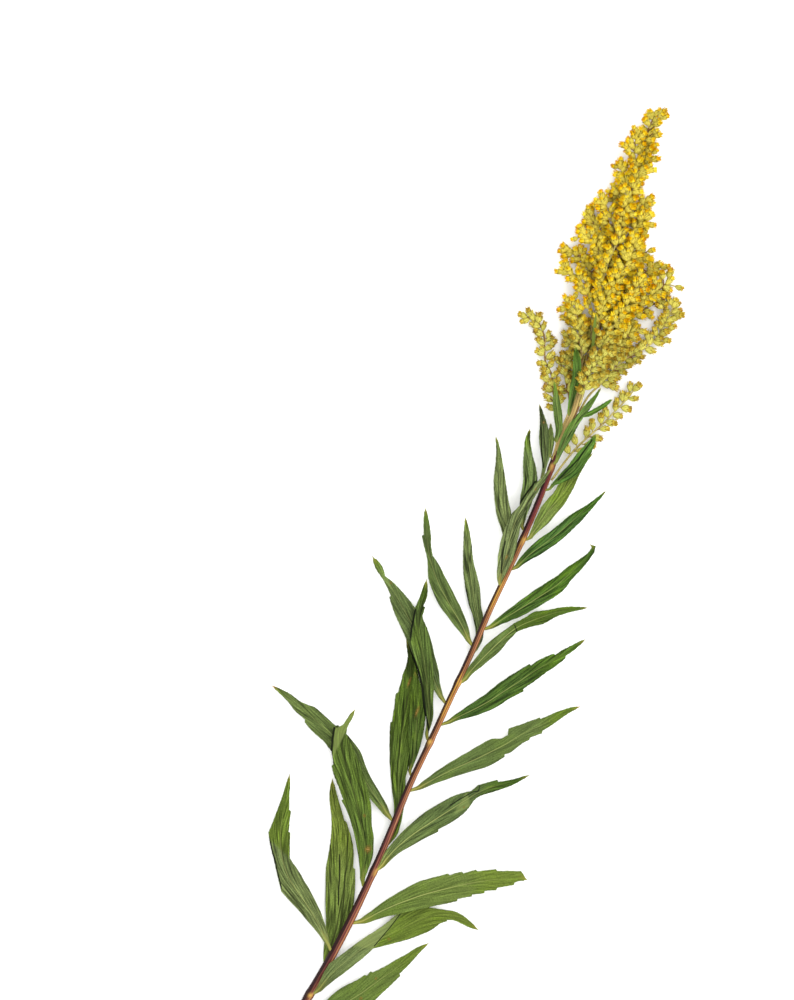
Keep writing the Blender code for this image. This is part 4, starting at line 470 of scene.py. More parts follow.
def leaf_blade(leaf, phase):
    """Shares of the length, left edge, midrib and right edge at each cross-section."""
    lefts, rights = leaf_edges(leaf)
    middles = (lefts + rights) / 2
    steps = np.linalg.norm(np.diff(lefts, axis=0), axis=1) + np.linalg.norm(np.diff(rights, axis=0), axis=1)
    shares = np.concatenate([[0.0], np.cumsum(steps)]) / steps.sum()
    widths = np.linalg.norm(rights - lefts, axis=1)
    spread = widths / widths.max()
    wave = leaf["wave"] * spread * np.sin(2 * math.pi * WAVE_COUNT * shares + phase)
    places, tilts = zip(*leaf["tilt"])
    tilt = np.interp(shares, places, tilts) / 2
    lefts[:, 2] += leaf["cup"] * spread + wave + tilt
    rights[:, 2] += leaf["cup"] * spread - wave - tilt
    return shares, lefts, middles, rights


def leaf_beads(leaf, phase):
    """Small balls strewn over a blade, which heads keep clear of."""
    shares, lefts, middles, rights = leaf_blade(leaf, phase)
    length = float(np.linalg.norm(np.diff(middles, axis=0), axis=1).sum())
    steps = int(length / LEAF_BEAD_STEP)
    beads = []
    for i in range(steps + 1):
        left, middle, right = (
            np.array([np.interp(i / steps, shares, edge[:, axis]) for axis in range(3)])
            for edge in (lefts, middles, rights)
        )
        for k in range(-LEAF_BEADS_ACROSS, LEAF_BEADS_ACROSS + 1):
            side = right if k > 0 else left
            place = middle + (side - middle) * abs(k) / LEAF_BEADS_ACROSS
            beads.append((*place, LEAF_BEAD_RADIUS))
    return beads


def spray_route(spray):
    if spray["side"] is None:
        end = STEM_CURVE.at(1.0) + STEM_CURVE.heading(1.0) * SEAT_GAP
        return Route([tuple(end)] + spray["route"])
    return Route([seat(spray["at"], spray["side"], TWIG_FOOT_RADIUS, spray["route"][0])] + spray["route"])


def twig_radius(spray, share):
    foot = TWIG_FOOT_RADIUS if spray["side"] is not None else stem_radius(spray["at"])
    return foot + (TWIG_TIP_RADIUS - foot) * share


def twig_stations(route):
    """Shares of a twig's length where its straight stretches meet."""
    steps = max(3, round(route.length / TWIG_STEP))
    return [i / steps for i in range(steps + 1)]


def twig_middle(route, share):
    """The middle of a twig's straight stretches at a share of its length."""
    stations = twig_stations(route)
    places = np.array([route.at(station) for station in stations])
    return np.array([np.interp(share, stations, places[:, axis]) for axis in range(3)])


def twig_beads(spray, route):
    steps = int(route.length / TWIG_BEAD_STEP)
    return [(*route.at(i / steps), twig_radius(spray, i / steps)) for i in range(steps + 1)]


def head_sides(direction):
    """Two directions across a head, square to each other."""
    side = unit(np.cross(direction, UP))
    return side, np.cross(direction, side)


def head_corner(head, run, radius, k):
    """Corner number k of a head's cross-section."""
    side, other = head_sides(head["direction"])
    turn = head["turn"] + 2 * math.pi * k / HEAD_SIDES
    outward = math.cos(turn) * side + math.sin(turn) * other
    return head["root"] + head["direction"] * run + radius * outward


def head_beads(head):
    """Balls that fill one head: its stalk, the corners of its rim, its crown, and its bell last."""
    root, direction, stalk, size = head["root"], head["direction"], head["stalk"], head["size"]
    length = HEAD_LENGTH * size
    radius = HEAD_RADIUS * size
    runs = np.arange(STALK_BEAD_STEP, stalk + STALK_BEAD_STEP / 2, STALK_BEAD_STEP)
    beads = [(*(root + direction * run), STALK_RADIUS) for run in runs]
    for k in range(HEAD_SIDES):
        corner = head_corner(head, stalk + HEAD_RIM * length, radius - CORNER_BEAD, k)
        beads.append((*corner, CORNER_BEAD))
    for share, part in (*HEAD_BEADS, BELL_BEAD):
        beads.append((*(root + direction * (stalk + share * length)), part * radius))
    return beads


def near_beads(beads, route):
    """Those of the balls that a head of this twig could reach."""
    beads = np.array(beads)
    low = route.points.min(axis=0) - REACH
    high = route.points.max(axis=0) + REACH
    return beads[((beads[:, :3] > low) & (beads[:, :3] < high)).all(axis=1)]


def is_clear(beads, others, air):
    if not len(others):
        return True
    beads = np.array(beads)
    apart = np.linalg.norm(beads[:, None, :3] - others[None, :, :3], axis=2)
    return bool((apart >= beads[:, None, 3] + others[None, :, 3] + air).all())


def is_apart(bell, own_bells, spacing):
    """Whether a head's bell leaves the other heads of its spray this share of their room."""
    return all(
        np.linalg.norm(np.array(bell[:3]) - np.array(other[:3])) >= spacing * (bell[3] + other[3])
        for other in own_bells
    )


def is_above_floor(beads):
    return min(bead[2] - bead[3] for bead in beads) >= FLOOR_AIR


def head_direction(route, share, spread, lean, hand):
    """Where a head looks that leaves its twig on one side and leans out of the flat."""
    heading, across, up = frame_at(route, share)
    return (
        math.cos(spread) * heading
        + math.sin(spread) * (hand * math.cos(lean) * across + math.sin(lean) * up)
    )


def place_heads(spray, route, others, seed):
    """Heads along a twig, left and right in turn, each turned until it is clear of what is there."""
    draw = random.Random(seed)
    heads = []
    bells = []
    count = max(2, round(route.length * (1 - spray["bare"]) / spray["step"]))
    for k in range(count + 1):
        share = spray["bare"] + (1 - spray["bare"]) * k / count
        is_tip = k == count
        hand = 1 if k % 2 else -1
        for attempt in range(TURNS_TRIED):
            low, high = spray["lean"]
            lean = math.radians(draw.uniform(low, high))
            spread = math.radians(draw.uniform(*(TIP_SPREAD if is_tip else SIDE_SPREAD)))
            if attempt > TURNS_TRIED // 2 and not is_tip:
                hand = draw.choice((-1, 1))
            size = draw.uniform(*HEAD_SIZES)
            stalk = spray["stalk"] * draw.uniform(*STALK_FACTORS)
            turn = draw.uniform(0, 2 * math.pi)
            direction = head_direction(route, share, spread, lean, hand)
            root = twig_middle(route, share) - direction * (TIP_SINK if is_tip else ROOT_SINK)
            head = dict(root=root, direction=direction, stalk=stalk, size=size, turn=turn)
            beads = head_beads(head)
            if not is_above_floor(beads):
                continue
            if is_apart(beads[-1], bells, OWN_SPACING) and is_clear(beads, others, CLEAR_GAP):
                heads.append(head)
                bells.append(beads[-1])
                break
    return heads


# Looks: what only the picture needs, in millimetres unless a name says otherwise

# Starts of the random draws
LEAF_SEED = 700
SPRAY_SEED = 300
EXTRA_SEED = 1000
STEM_SEED = 51
HEAD_SEED = 5

# The photograph's frame: its middle over the plant, its height, and how far the plant leans in it
VIEW_X = -39.85
VIEW_Y = 239.0
VIEW_HEIGHT = 420.0
VIEW_LEAN = 22.0
VIEW_LENS = 200.0
# In metres and watts: how far the view reaches, half of the ground, the lamp, and how bright the white
# surroundings are
VIEW_END = 20.0
GROUND_HALF = 3.0
KEY_PLACE = (0.45, 0.30, 1.3)
KEY_SIZE = 1.5
KEY_POWER = 14.4
SURROUNDINGS = 1.55
# Colours are chosen as they look in this bright light; this share of them is the surface's own.
PALENESS = 0.69

# Leaves: rows along and columns across a blade, its real thickness, and the size of its folds
LEAF_ROWS = 90
LEAF_COLUMNS = 21
LEAF_HALF_THICKNESS = 0.17
MIDRIB_DEPTH = 0.12
MIDRIB_HALF = 0.38
PLEAT_DEPTH = 0.11
PLEAT_PITCH = 2.3
CRINKLE = 0.14
# Pleats drift and crinkles lean along the blade: number of waves, and their shortest and longest length
PLEAT_DRIFT = 2.0
PLEAT_WAVES = (3, 25.0, 70.0)
LEAN_WAVES = (3, 12.0, 40.0)
# A blade with this half width has folds of full depth.
FULL_HALF = 2.5
# A blade sags between midrib and edge by this power of the share across it.
SAG = 1.25
# How much of its thickness a blade loses towards its edge
EDGE_TAPER = 0.92
# A leaf's foot is thicker by this, and the extra fades along this share of the length.
FOOT_EXTRA = 0.16
FOOT_FADE = 0.03
# An edge that turns by more degrees than this keeps a corner there.
CORNER_TURN = 24.0
# The midline is smoothed over this share of the length.
MIDLINE_SPREAD = 0.05
# How far a leaf's or a twig's foot runs on into the bark, and the share of a leaf that moves with it
FOOT_RUN = 1.1
FOOT_SHARE = 0.04
# Small teeth between the large ones: depth, distance, the share of the length where they begin and over
# which they grow, and the share of a tooth that rises. Their distance varies and the edge wanders in waves:
# how many, and their shortest and longest length.
SMALL_TOOTH = 0.14
SMALL_TOOTH_PITCH = 2.1
SMALL_TEETH_FROM = 0.4
SMALL_TEETH_FADE = 0.1
TOOTH_RISE = 0.75
TOOTH_WAVES = (3, 8.0, 30.0)
EDGE_WANDER = 0.07
WANDER_WAVES = (4, 4.0, 18.0)
# A blade narrows to this half width at its very tip, within this share of its length.
POINT_HALF = 0.05
POINT_SHARE = 0.03
# A leaf's midrib is gone from this share of the length on, and fades over this much before it.
RIB_END = 0.90
RIB_FADE = 0.45
# A leaf is yellow at its foot and tip, brown at its very tip, and grey up to a place that is this soft.
YELLOW_FOOT_TO = 0.12
YELLOW_TIP_FROM = 0.94
BROWN_TIP_FROM = 0.975
GREY_FADE = 0.12
# How soft the edge of a turned-over patch is
PATCH_FADE = 0.6
# How pale a leaf's underside is, and how high its lowest points and those of a head and the stem lie
UNDER_PALE = 0.8
LEAF_LOWEST = 0.04
HEAD_LOWEST = 0.03
STEM_LOWEST = 0.02

# How each leaf looks: its tone at the foot and at the tip (0 dark, 0.5 mid green, 1 pale yellow-green), how
# grey it is, the share of its length where the grey ends, its dark lengthwise lines (painted shade of fine
# creases, partly dark veins), and its pale midrib with the painted shade of its groove beside it
LEAF_LOOKS = {
    "leaf_right_1": (0.50, 0.68, 0.30, 0.75, 0.15, 0.5),
    "leaf_right_2": (0.60, 0.74, 0.85, 2.00, 0.30, 0.3),
    "leaf_right_3": (0.57, 0.72, 0.30, 0.70, 0.20, 0.8),
    "leaf_right_4": (0.66, 0.26, 0.70, 0.75, 0.45, 0.8),
    "leaf_right_5": (0.43, 0.60, 0.55, 0.80, 0.20, 0.6),
    "leaf_right_6": (0.28, 0.46, 0.20, 0.60, 0.65, 0.5),
    "leaf_right_7": (0.60, 0.34, 0.50, 0.48, 0.30, 0.6),
    "leaf_right_8": (0.40, 0.34, 0.15, 0.50, 0.60, 0.5),
    "leaf_right_9": (0.40, 0.34, 0.35, 0.70, 0.80, 0.4),
    "leaf_right_10": (0.80, 0.86, 0.30, 0.40, 0.40, 0.4),
    "leaf_right_11": (0.48, 0.64, 0.25, 0.90, 0.90, 0.2),
    "leaf_right_12": (0.52, 0.56, 0.40, 0.80, 0.80, 0.3),
    "leaf_right_13": (0.62, 0.60, 0.10, 0.50, 0.40, 0.3),
    "leaf_left_1": (0.76, 0.58, 0.80, 2.00, 0.70, 0.5),
    "leaf_left_2": (0.58, 0.84, 0.25, 0.60, 0.95, 0.15),
    "leaf_left_3": (0.44, 0.56, 0.15, 0.90, 0.85, 0.1),
    "leaf_left_4": (0.52, 0.62, 0.60, 0.95, 0.60, 0.4),
    "leaf_left_5": (0.52, 0.46, 0.15, 0.50, 0.90, 0.2),
    "leaf_left_6": (0.50, 0.44, 0.35, 0.85, 0.85, 0.2),
    "leaf_left_7": (0.44, 0.60, 0.75, 0.90, 0.50, 0.4),
    "leaf_left_8": (0.54, 0.46, 0.60, 0.90, 0.50, 0.5),
    "leaf_left_9": (0.60, 0.66, 0.80, 0.90, 1.00, 0.3),
    "leaf_left_10": (0.72, 0.66, 0.95, 2.00, 1.00, 0.4),
    "leaf_left_11": (0.76, 0.66, 0.80, 0.95, 1.00, 0.2),
    "leaf_left_12": (0.74, 0.72, 0.70, 0.80, 1.00, 0.2),
    "leaf_left_13": (0.50, 0.60, 0.90, 2.00, 1.00, 0.2),
    "leaf_left_14": (0.56, 0.70, 0.50, 1.00, 0.80, 0.3),
    "leaf_left_15": (0.60, 0.74, 0.40, 0.80, 0.80, 0.2),
    "leaf_left_16": (0.38, 0.48, 0.15, 0.60, 0.90, 0.2),
    "bract_leaf": (0.60, 0.62, 0.20, 0.80, 0.80, 0.2),
}
# Leaves of a fresher, cooler green, and how much
FRESH_LEAVES = {
    "leaf_right_6": 0.3, "leaf_right_8": 0.4, "leaf_right_9": 0.7, "leaf_right_10": 0.2, "leaf_right_11": 0.8,
    "leaf_right_12": 0.5, "leaf_right_13": 1.0, "leaf_left_12": 0.3, "leaf_left_15": 0.4, "bract_leaf": 0.7,
}
# Leaves that turn over: only what lies left of the line, from its first to its second point, is grey.
GREY_LINES = {
    "leaf_left_1": (-24.0, 82.5, -39.0, 88.0),
    "leaf_right_2": (21.0, 60.5, 27.0, 80.5),
}
# Pale patches where a blade is turned over: leaf, and three corners that run left-handed round the patch
TURNED_PATCHES = [
    ("leaf_left_3", (-28.4, 140.8), (-24.4, 128.8), (-22.6, 151.0)),
    ("leaf_right_4", (31.5, 125.5), (36.8, 131.5), (33.0, 137.0)),
    ("leaf_right_2", (0.0, 56.0), (21.4, 60.6), (27.4, 81.0)),
]
# A leaf without a crease has one that is far away.
FAR_AWAY = 1000.0
NO_CREASE = (1.0, [(FAR_AWAY, 0.0), (FAR_AWAY, 1.0)])
# Brown places of the leaves: leaf, place across and along the plant, radius, and length against the radius
BROWN_SPOTS = [
    ("leaf_right_1", 27.1, 49.6, 0.7, 1.2), ("leaf_right_1", 24.4, 39.4, 0.9, 1.0),
    ("leaf_right_2", 26.0, 67.0, 0.9, 1.0), ("leaf_left_3", 3.7, 98.8, 1.8, 1.2),
    ("leaf_left_3", -3.0, 111.3, 0.8, 1.2), ("leaf_left_7", -29.2, 205.8, 0.8, 0.7),
    ("leaf_left_13", 5.0, 292.2, 0.8, 1.0), ("leaf_left_4", -59.0, 147.0, 2.2, 1.0),
    ("leaf_left_16", 1.2, 160.0, 0.8, 4.0), ("leaf_left_5", -3.0, 166.0, 0.7, 6.0),
    ("leaf_left_5", -6.5, 170.0, 0.6, 5.0), ("leaf_right_5", 63.4, 187.3, 1.2, 1.0),
    ("leaf_left_10", 11.6, 234.0, 0.5, 3.0), ("leaf_left_10", 12.2, 265.0, 0.5, 2.0),
    ("leaf_right_4", 34.4, 130.0, 0.6, 1.0),
]
# Dark lines of painted shade along creases: half the width of the line, and its points across and along the
# plant. Two of them are painted shadows where a blade lies on others, so those blades share them.
SHADOW_BESIDE_FIVE = [(-15.6, 199.5), (-14.2, 192.0), (-12.5, 184.8), (-9.2, 180.8), (-4.2, 175.4), (-0.4, 170.0),
               (2.1, 165.0), (5.0, 160.0), (7.9, 155.8), (10.0, 152.5)]
SHADOW_BESIDE_FLAP = [(-28.4, 140.6), (-27.4, 136.0), (-25.4, 130.0), (-24.0, 126.8)]
SHADED_CREASES = {
    "leaf_left_1": (0.30, [(-36.6, 87.6), (-30.4, 79.2), (-23.8, 70.0)]),
    "leaf_left_2": (0.28, [(-6.5, 92.0), (-3.6, 85.0), (-1.0, 77.5), (1.0, 72.0)]),
    "leaf_right_2": (0.22, [(21.4, 62.0), (24.6, 71.6), (26.8, 79.6)]),
    "leaf_right_4": (0.22, [(28.5, 128.5), (32.0, 133.0), (35.6, 137.6), (37.6, 138.4), (37.2, 141.0)]),
    "leaf_right_7": (0.25, [(25.6, 208.8), (27.4, 206.8)]),
    "leaf_right_11": (0.35, [(19.5, 272.0), (24.0, 283.0), (26.5, 293.0)]),
    "leaf_left_3": (0.50, SHADOW_BESIDE_FLAP),
    "leaf_left_4": (0.50, SHADOW_BESIDE_FLAP),
    "leaf_left_5": (0.55, SHADOW_BESIDE_FIVE),
    "leaf_left_6": (0.55, SHADOW_BESIDE_FIVE),
    "leaf_left_16": (0.55, SHADOW_BESIDE_FIVE),
    "leaf_left_9": (0.25, [(1.0, 215.0), (5.5, 208.5), (11.0, 202.0)]),
    "leaf_left_10": (0.30, [(8.6, 240.0), (9.6, 234.0), (12.0, 227.0)]),
    "leaf_left_11": (0.45, [(8.8, 247.0), (6.8, 251.4)]),
    "leaf_left_12": (0.40, [(8.0, 256.0), (9.4, 262.0), (11.0, 268.0)]),
    "leaf_left_13": (0.35, [(4.5, 290.0), (8.5, 281.0), (12.0, 274.5)]),
}

# Stem: sides, distance between its rings, ribs and their share on the flat stretch, radius of the bark's
# pattern, and the scars: the side of each, in degrees, and their size
BARK_SIDES = 28
BARK_STEP = 1.5
BARK_RIBS = 9
RIB_DEPTH = 0.035
FLAT_RIBS = 0.3
BARK_PATTERN = 1.6
SCAR_SIDES = [75, 60, 95, 40, 60, 90]
SCAR_HEIGHT = 0.3
SCAR_HALF = 0.9
# Lengths of the stem by colour: where the colour starts, is full, starts to fade and is gone
TAN_LENGTH = (112.0, 140.0, 236.0, 262.0)
GOLD_LENGTHS = [(158.0, 164.0, 180.0, 184.0), (208.0, 214.0, 223.0, 227.0), (236.0, 242.0, 244.0, 248.0)]
RED_LENGTH = (232.0, 254.0, 274.0, 294.0)
STRIP_LENGTH = (284.0, 290.0, 318.0, 335.0)
# Between these heights the bark turns to the colour of straw.
STRAW_LENGTH = (281.0, 304.0)
# Places in the bark's pattern that the straw stalks and the hairs take their colours from
STRAW_BARK = 340.0
HAIR_BARK = 330.0
# The soft pith of a cut end: its share of the radius, and how far its rim lies inside the cut
PITH_SHARE = 0.45
PITH_DEPTH = 0.25
# Straw stalks on the stem that run up into the plume: where they start and end along it, how far they lie
# to the side of its middle there, their radius, and its share at some of their rings
STRAW_STALKS = [(279.0, 322.0, -0.7, -4.1), (281.0, 326.0, -0.4, -3.1), (283.0, 328.0, -0.2, -2.1),
                (286.0, 328.0, 0.0, -1.1), (292.0, 326.0, 0.1, -0.2)]
STRAW_RADIUS = 0.40
STRAW_RINGS = 14
STRAW_TAPER = ([0, 2, 9, STRAW_RINGS - 1], [0.5, 1.0, 1.0, 0.1])
# Hairs, their heights on the stem, and their angles round it in half turns, from its right side up
STEM_HAIRS = 900
HAIR_LENGTH = 0.7
HAIR_RADIUS = 0.03
HAIRY_LENGTH = (150.0, 345.0)
HAIRY_TURNS = (-0.35, 1.35)
# How far a hair leans forward and, at most, up or down, the factors of its length, and where it is rooted
HAIR_FORWARD = (0.2, 1.1)
HAIR_ASIDE = 0.2
HAIR_LENGTHS = (0.6, 1.2)
HAIR_ROOT = 0.93

# Heads: profiles (height, radius) of the bell and of the crown inside its florets, and their parts
BELL_PROFILE = [(0.0, 0.24), (0.4, 0.52), (1.0, 0.96), (1.9, 1.30), (2.8, 1.46), (3.3, 1.46)]
CROWN_PROFILE = [(3.2, 1.34), (3.4, 1.22), (3.6, 0.85), (3.7, 0.35)]
BELL_SIDES = 9
# Bract rows: foot and tip along the bell, how many, and half of the angle that each spans
BRACT_ROWS = [(0.30, 1.6, 5, 0.56), (0.8, 2.5, 6, 0.48), (1.4, 3.4, 8, 0.38)]
# A bract: shares of its length and how wide it is there, and how far its middle line stands out
BRACT_WIDTHS = ((0.0, 0.75), (0.35, 1.0), (0.7, 0.78))
BRACT_RIDGE = 0.13
# How far bracts differ: in their place round the bell, their tip, their span, and how far the tip flares out
BRACT_SHIFT = (-0.08, 0.08)
BRACT_REACH = (-0.2, 0.25)
BRACT_SPAN = (0.9, 1.08)
BRACT_FLARE = (0.0, 0.20)
# A floret: shares of its length and how wide it is there
FLORETS = 32
FLORET_WIDTHS = ((0.0, 0.5), (0.35, 1.0), (0.75, 1.0), (1.0, 0.55))
# Florets start at this height in the bell and end between these heights.
FLORET_FOOT = 3.0
FLORET_TOPS = (4.3, 5.4)
# How far florets differ: in their place, in the radius where the outer and inner ones start, in how far they
# spread, curl and twist, and in half their width
FLORET_SHIFT = (-0.35, 0.35)
FLORET_OUTER = (1.05, 1.4)
FLORET_INNER = (0.15, 1.0)
FLORET_REACH = (0.05, 0.50)
FLORET_CURL = (-0.7, 0.5)
FLORET_TWIST = (-0.9, 0.9)
FLORET_HALF = (0.16, 0.29)
# The numbers of a spray's materials
TWIG, BRACT, FLORET = 0, 1, 2
# How many forms of head there are. Heads with a stalk of their own above the shortest length have a round
# pedicel, which rises in its middle.
HEAD_KINDS = 8
PEDICEL_RADIUS = 0.27
SHORTEST_PEDICEL = 0.3
PEDICEL_BEND = 0.12
# Twigs: distance between rings, sides, and how thick they are against those of the solids
TWIG_RINGS_APART = 1.3
TWIG_ROUND_SIDES = 7
TWIG_THICKNESS = 0.82
# A head is as wide as its form by a factor of the first pair, and one way flatter by one of the second.
HEAD_WIDTHS = (0.92, 1.10)
HEAD_FLATNESS = (0.8, 1.0)
# The golden share of a head differs by these factors, and its ripeness by at most this much.
GOLD_FACTORS = (0.75, 1.15)
RIPE_SPREAD = 0.35
# The plume turns golden between the first heights and greener again between the next, by this much. It is
# greener to the right, between these places, up to heights between the last two.
GOLDEN_FROM = (322.0, 352.0)
GREEN_TIP = (412.0, 432.0)
GREEN_TIP_SHARE = 0.45
GREEN_RIGHT = (19.0, 34.0)
GREEN_RIGHT_SHARE = 0.65
GREEN_RIGHT_END = (374.0, 386.0)
# Small heads that fill in between the solids' heads: how many for each of those, on most sprays and on two
# sparse ones, their sizes, and their degrees from the twig and out of the flat
EXTRA_SHARE = 1.6
FEW_EXTRAS = {"spray_low_right": 0.1, "spray_low_left": 0.5}
EXTRA_SIZES = (0.66, 0.92)
EXTRA_SPREAD = (10, 72)
EXTRA_LEAN = (-25, 42)
# Their stalks are up to this long, and this share of them is longer, up to the longest.
EXTRA_STALK = 1.9
LONG_SHARE = 0.4
LONGEST_STALK = 3.8
# The share of their room that they leave each other, and how deep they may press into other pieces
EXTRA_SPACING = 0.60
EXTRA_AIR = -0.85
# How often a small head is tried for each one that is wanted
EXTRA_TRIES = 14
# From here up, small heads also stand on the bare foot of a twig and hide the stem. This share of those on
# long stalks bends over to it, ahead of their twig by a length between these two, and stops short of it.
COVERED_FROM = 344.0
COVERED_BARE = 0.05
BENT_SHARE = 0.5
BENT_AHEAD = (2.0, 5.0)
BENT_SHORTER = 2.2
# A small narrow leaf before the foot of one spray: its middle line with its half width there, its thickness,
# how deep it is folded along its middle, and its tone and greyness
SMALL_LEAF_OWNER = "spray_front_2"
SMALL_LEAF = [(12.4, 326.6, 10.0, 0.30), (11.7, 330.0, 12.4, 0.65), (10.4, 334.2, 14.4, 0.80),
              (9.1, 338.4, 15.6, 0.70), (7.9, 342.6, 16.2, 0.06)]
SMALL_LEAF_THICKNESS = 0.15
SMALL_LEAF_FOLD = 0.2
SMALL_LEAF_TONE = (0.74, 1.0, 0.0)
# How brown a twig is, and the most for twigs of a pale straw colour
TWIG_BROWN = (0.2, 0.9)
PALE_TWIGS = {"spray_low_right": 0.30, "spray_right_1": 0.30}


def colour(red, green, blue):
    """A screen colour (0 to 255) as the shaders want it."""
    shares = [value / 255 for value in (red, green, blue)]
    return (*[s / 12.92 if s < 0.04045 else ((s + 0.055) / 1.055) ** 2.4 for s in shares], 1.0)


class Value:
    """A number that a shader works out at each point of a surface."""

    def __init__(self, shader, socket):
        self.shader = shader
        self.socket = socket

    def math(self, operation, other=0.0):
        made = self.shader.node("Math", {0: self, 1: other}, operation=operation)
        return Value(self.shader, made.outputs[0])

    def __add__(self, other):
        return self.math("ADD", other)

    def __sub__(self, other):
        return self.math("SUBTRACT", other)

    def __mul__(self, other):
        return self.math("MULTIPLY", other)

    def __abs__(self):
        return self.math("ABSOLUTE")

    def rise(self, low, high, to_low=0.0, to_high=1.0):
        """Smoothly from to_low to to_high as this value goes from low to high."""
        fed = {"Value": self, "From Min": low, "From Max": high, "To Min": to_low, "To Max": to_high}
        made = self.shader.node("MapRange", fed, interpolation_type="SMOOTHSTEP")
        return Value(self.shader, made.outputs[0])

    def within(self, start, full, fading, gone):
        """One between full and fading, and nothing before the start and when gone."""
        return self.rise(start, full) * self.rise(gone, fading)


class Shader:
    """A material whose nodes are added one by one, with the base colour that it has so far."""

    def __init__(self, name, roughness, specular=0.1, paleness=PALENESS):
        self.base = None
        self.paleness = paleness
        self.material = bpy.data.materials.new(name)
        self.material.use_nodes = True
        self.tree = self.material.node_tree
        self.surface = self.tree.nodes["Principled BSDF"]
        self.surface.inputs["Roughness"].default_value = roughness
        self.surface.inputs["Specular IOR Level"].default_value = specular

    def feed(self, socket, value):
        if isinstance(value, Value):
            value = value.socket
        if isinstance(value, bpy.types.NodeSocket):
            self.tree.links.new(value, socket)
        else:
            socket.default_value = value

    def node(self, kind, inputs, **settings):
        made = self.tree.nodes.new("ShaderNode" + kind)
        for key, value in settings.items():
            setattr(made, key, value)
        for key, value in inputs.items():
            self.feed(made.inputs[key], value)
        return made

    def read(self, name):
        """Vector of a mesh attribute, and its three numbers."""
        vector = self.node("Attribute", {}, attribute_name=name).outputs["Vector"]
        return vector, [Value(self, part) for part in self.node("SeparateXYZ", {"Vector": vector}).outputs]

    def times(self, vector, factors):
        """A vector or a colour, each of its three numbers multiplied by its factor."""
        return self.node("VectorMath", {0: vector, 1: factors}, operation="MULTIPLY").outputs[0]

    def noise(self, vector, stretch, detail=2.0, roughness=0.5):
        fed = {"Vector": self.times(vector, stretch), "Scale": 1.0, "Detail": detail, "Roughness": roughness}
        return Value(self, self.node("TexNoise", fed).outputs["Fac"])

    def fold_lines(self, vector, stretch, half_width):
        """Thin long lines, where a smooth noise passes its middle value."""
        return abs(self.noise(vector, stretch, 1.0) - 0.5).rise(half_width, 0.0)

    def mix(self, share, first, second):
        """From the first to the second colour by the share. Each is a screen colour or worked out."""
        first, second = (colour(*shade) if isinstance(shade, tuple) else shade for shade in (first, second))
        return self.node("Mix", {0: share, 6: first, 7: second}, data_type="RGBA").outputs[2]

    def ramp(self, value, stops):
        """A colour that follows the value. Each stop has its place and its screen colour."""
        made = self.node("ValToRGB", {"Fac": value})
        bands = made.color_ramp.elements
        while len(bands) < len(stops):
            bands.new(1.0)
        for band, (place, *shade) in zip(bands, stops):
            band.position = place
            band.color = colour(*shade)
        return made.outputs["Color"]

    def tint(self, share, shade):
        """Lays another colour over the base by its share."""
        self.base = self.mix(share, self.base, shade)

    def shade(self, share, factor):
        """Makes the base lighter or darker by its share."""
        self.tint(share, self.times(self.base, (factor, factor, factor)))

    def finish(self, height, depth, strength):
        """Gives the surface its base colour and its fine relief, whose depth is in metres."""
        factors = (self.paleness, self.paleness, self.paleness)
        self.feed(self.surface.inputs["Base Color"], self.times(self.base, factors))
        bump = self.node("Bump", {"Height": height, "Distance": depth, "Strength": strength})
        self.feed(self.surface.inputs["Normal"], bump.outputs["Normal"])
        return self.material


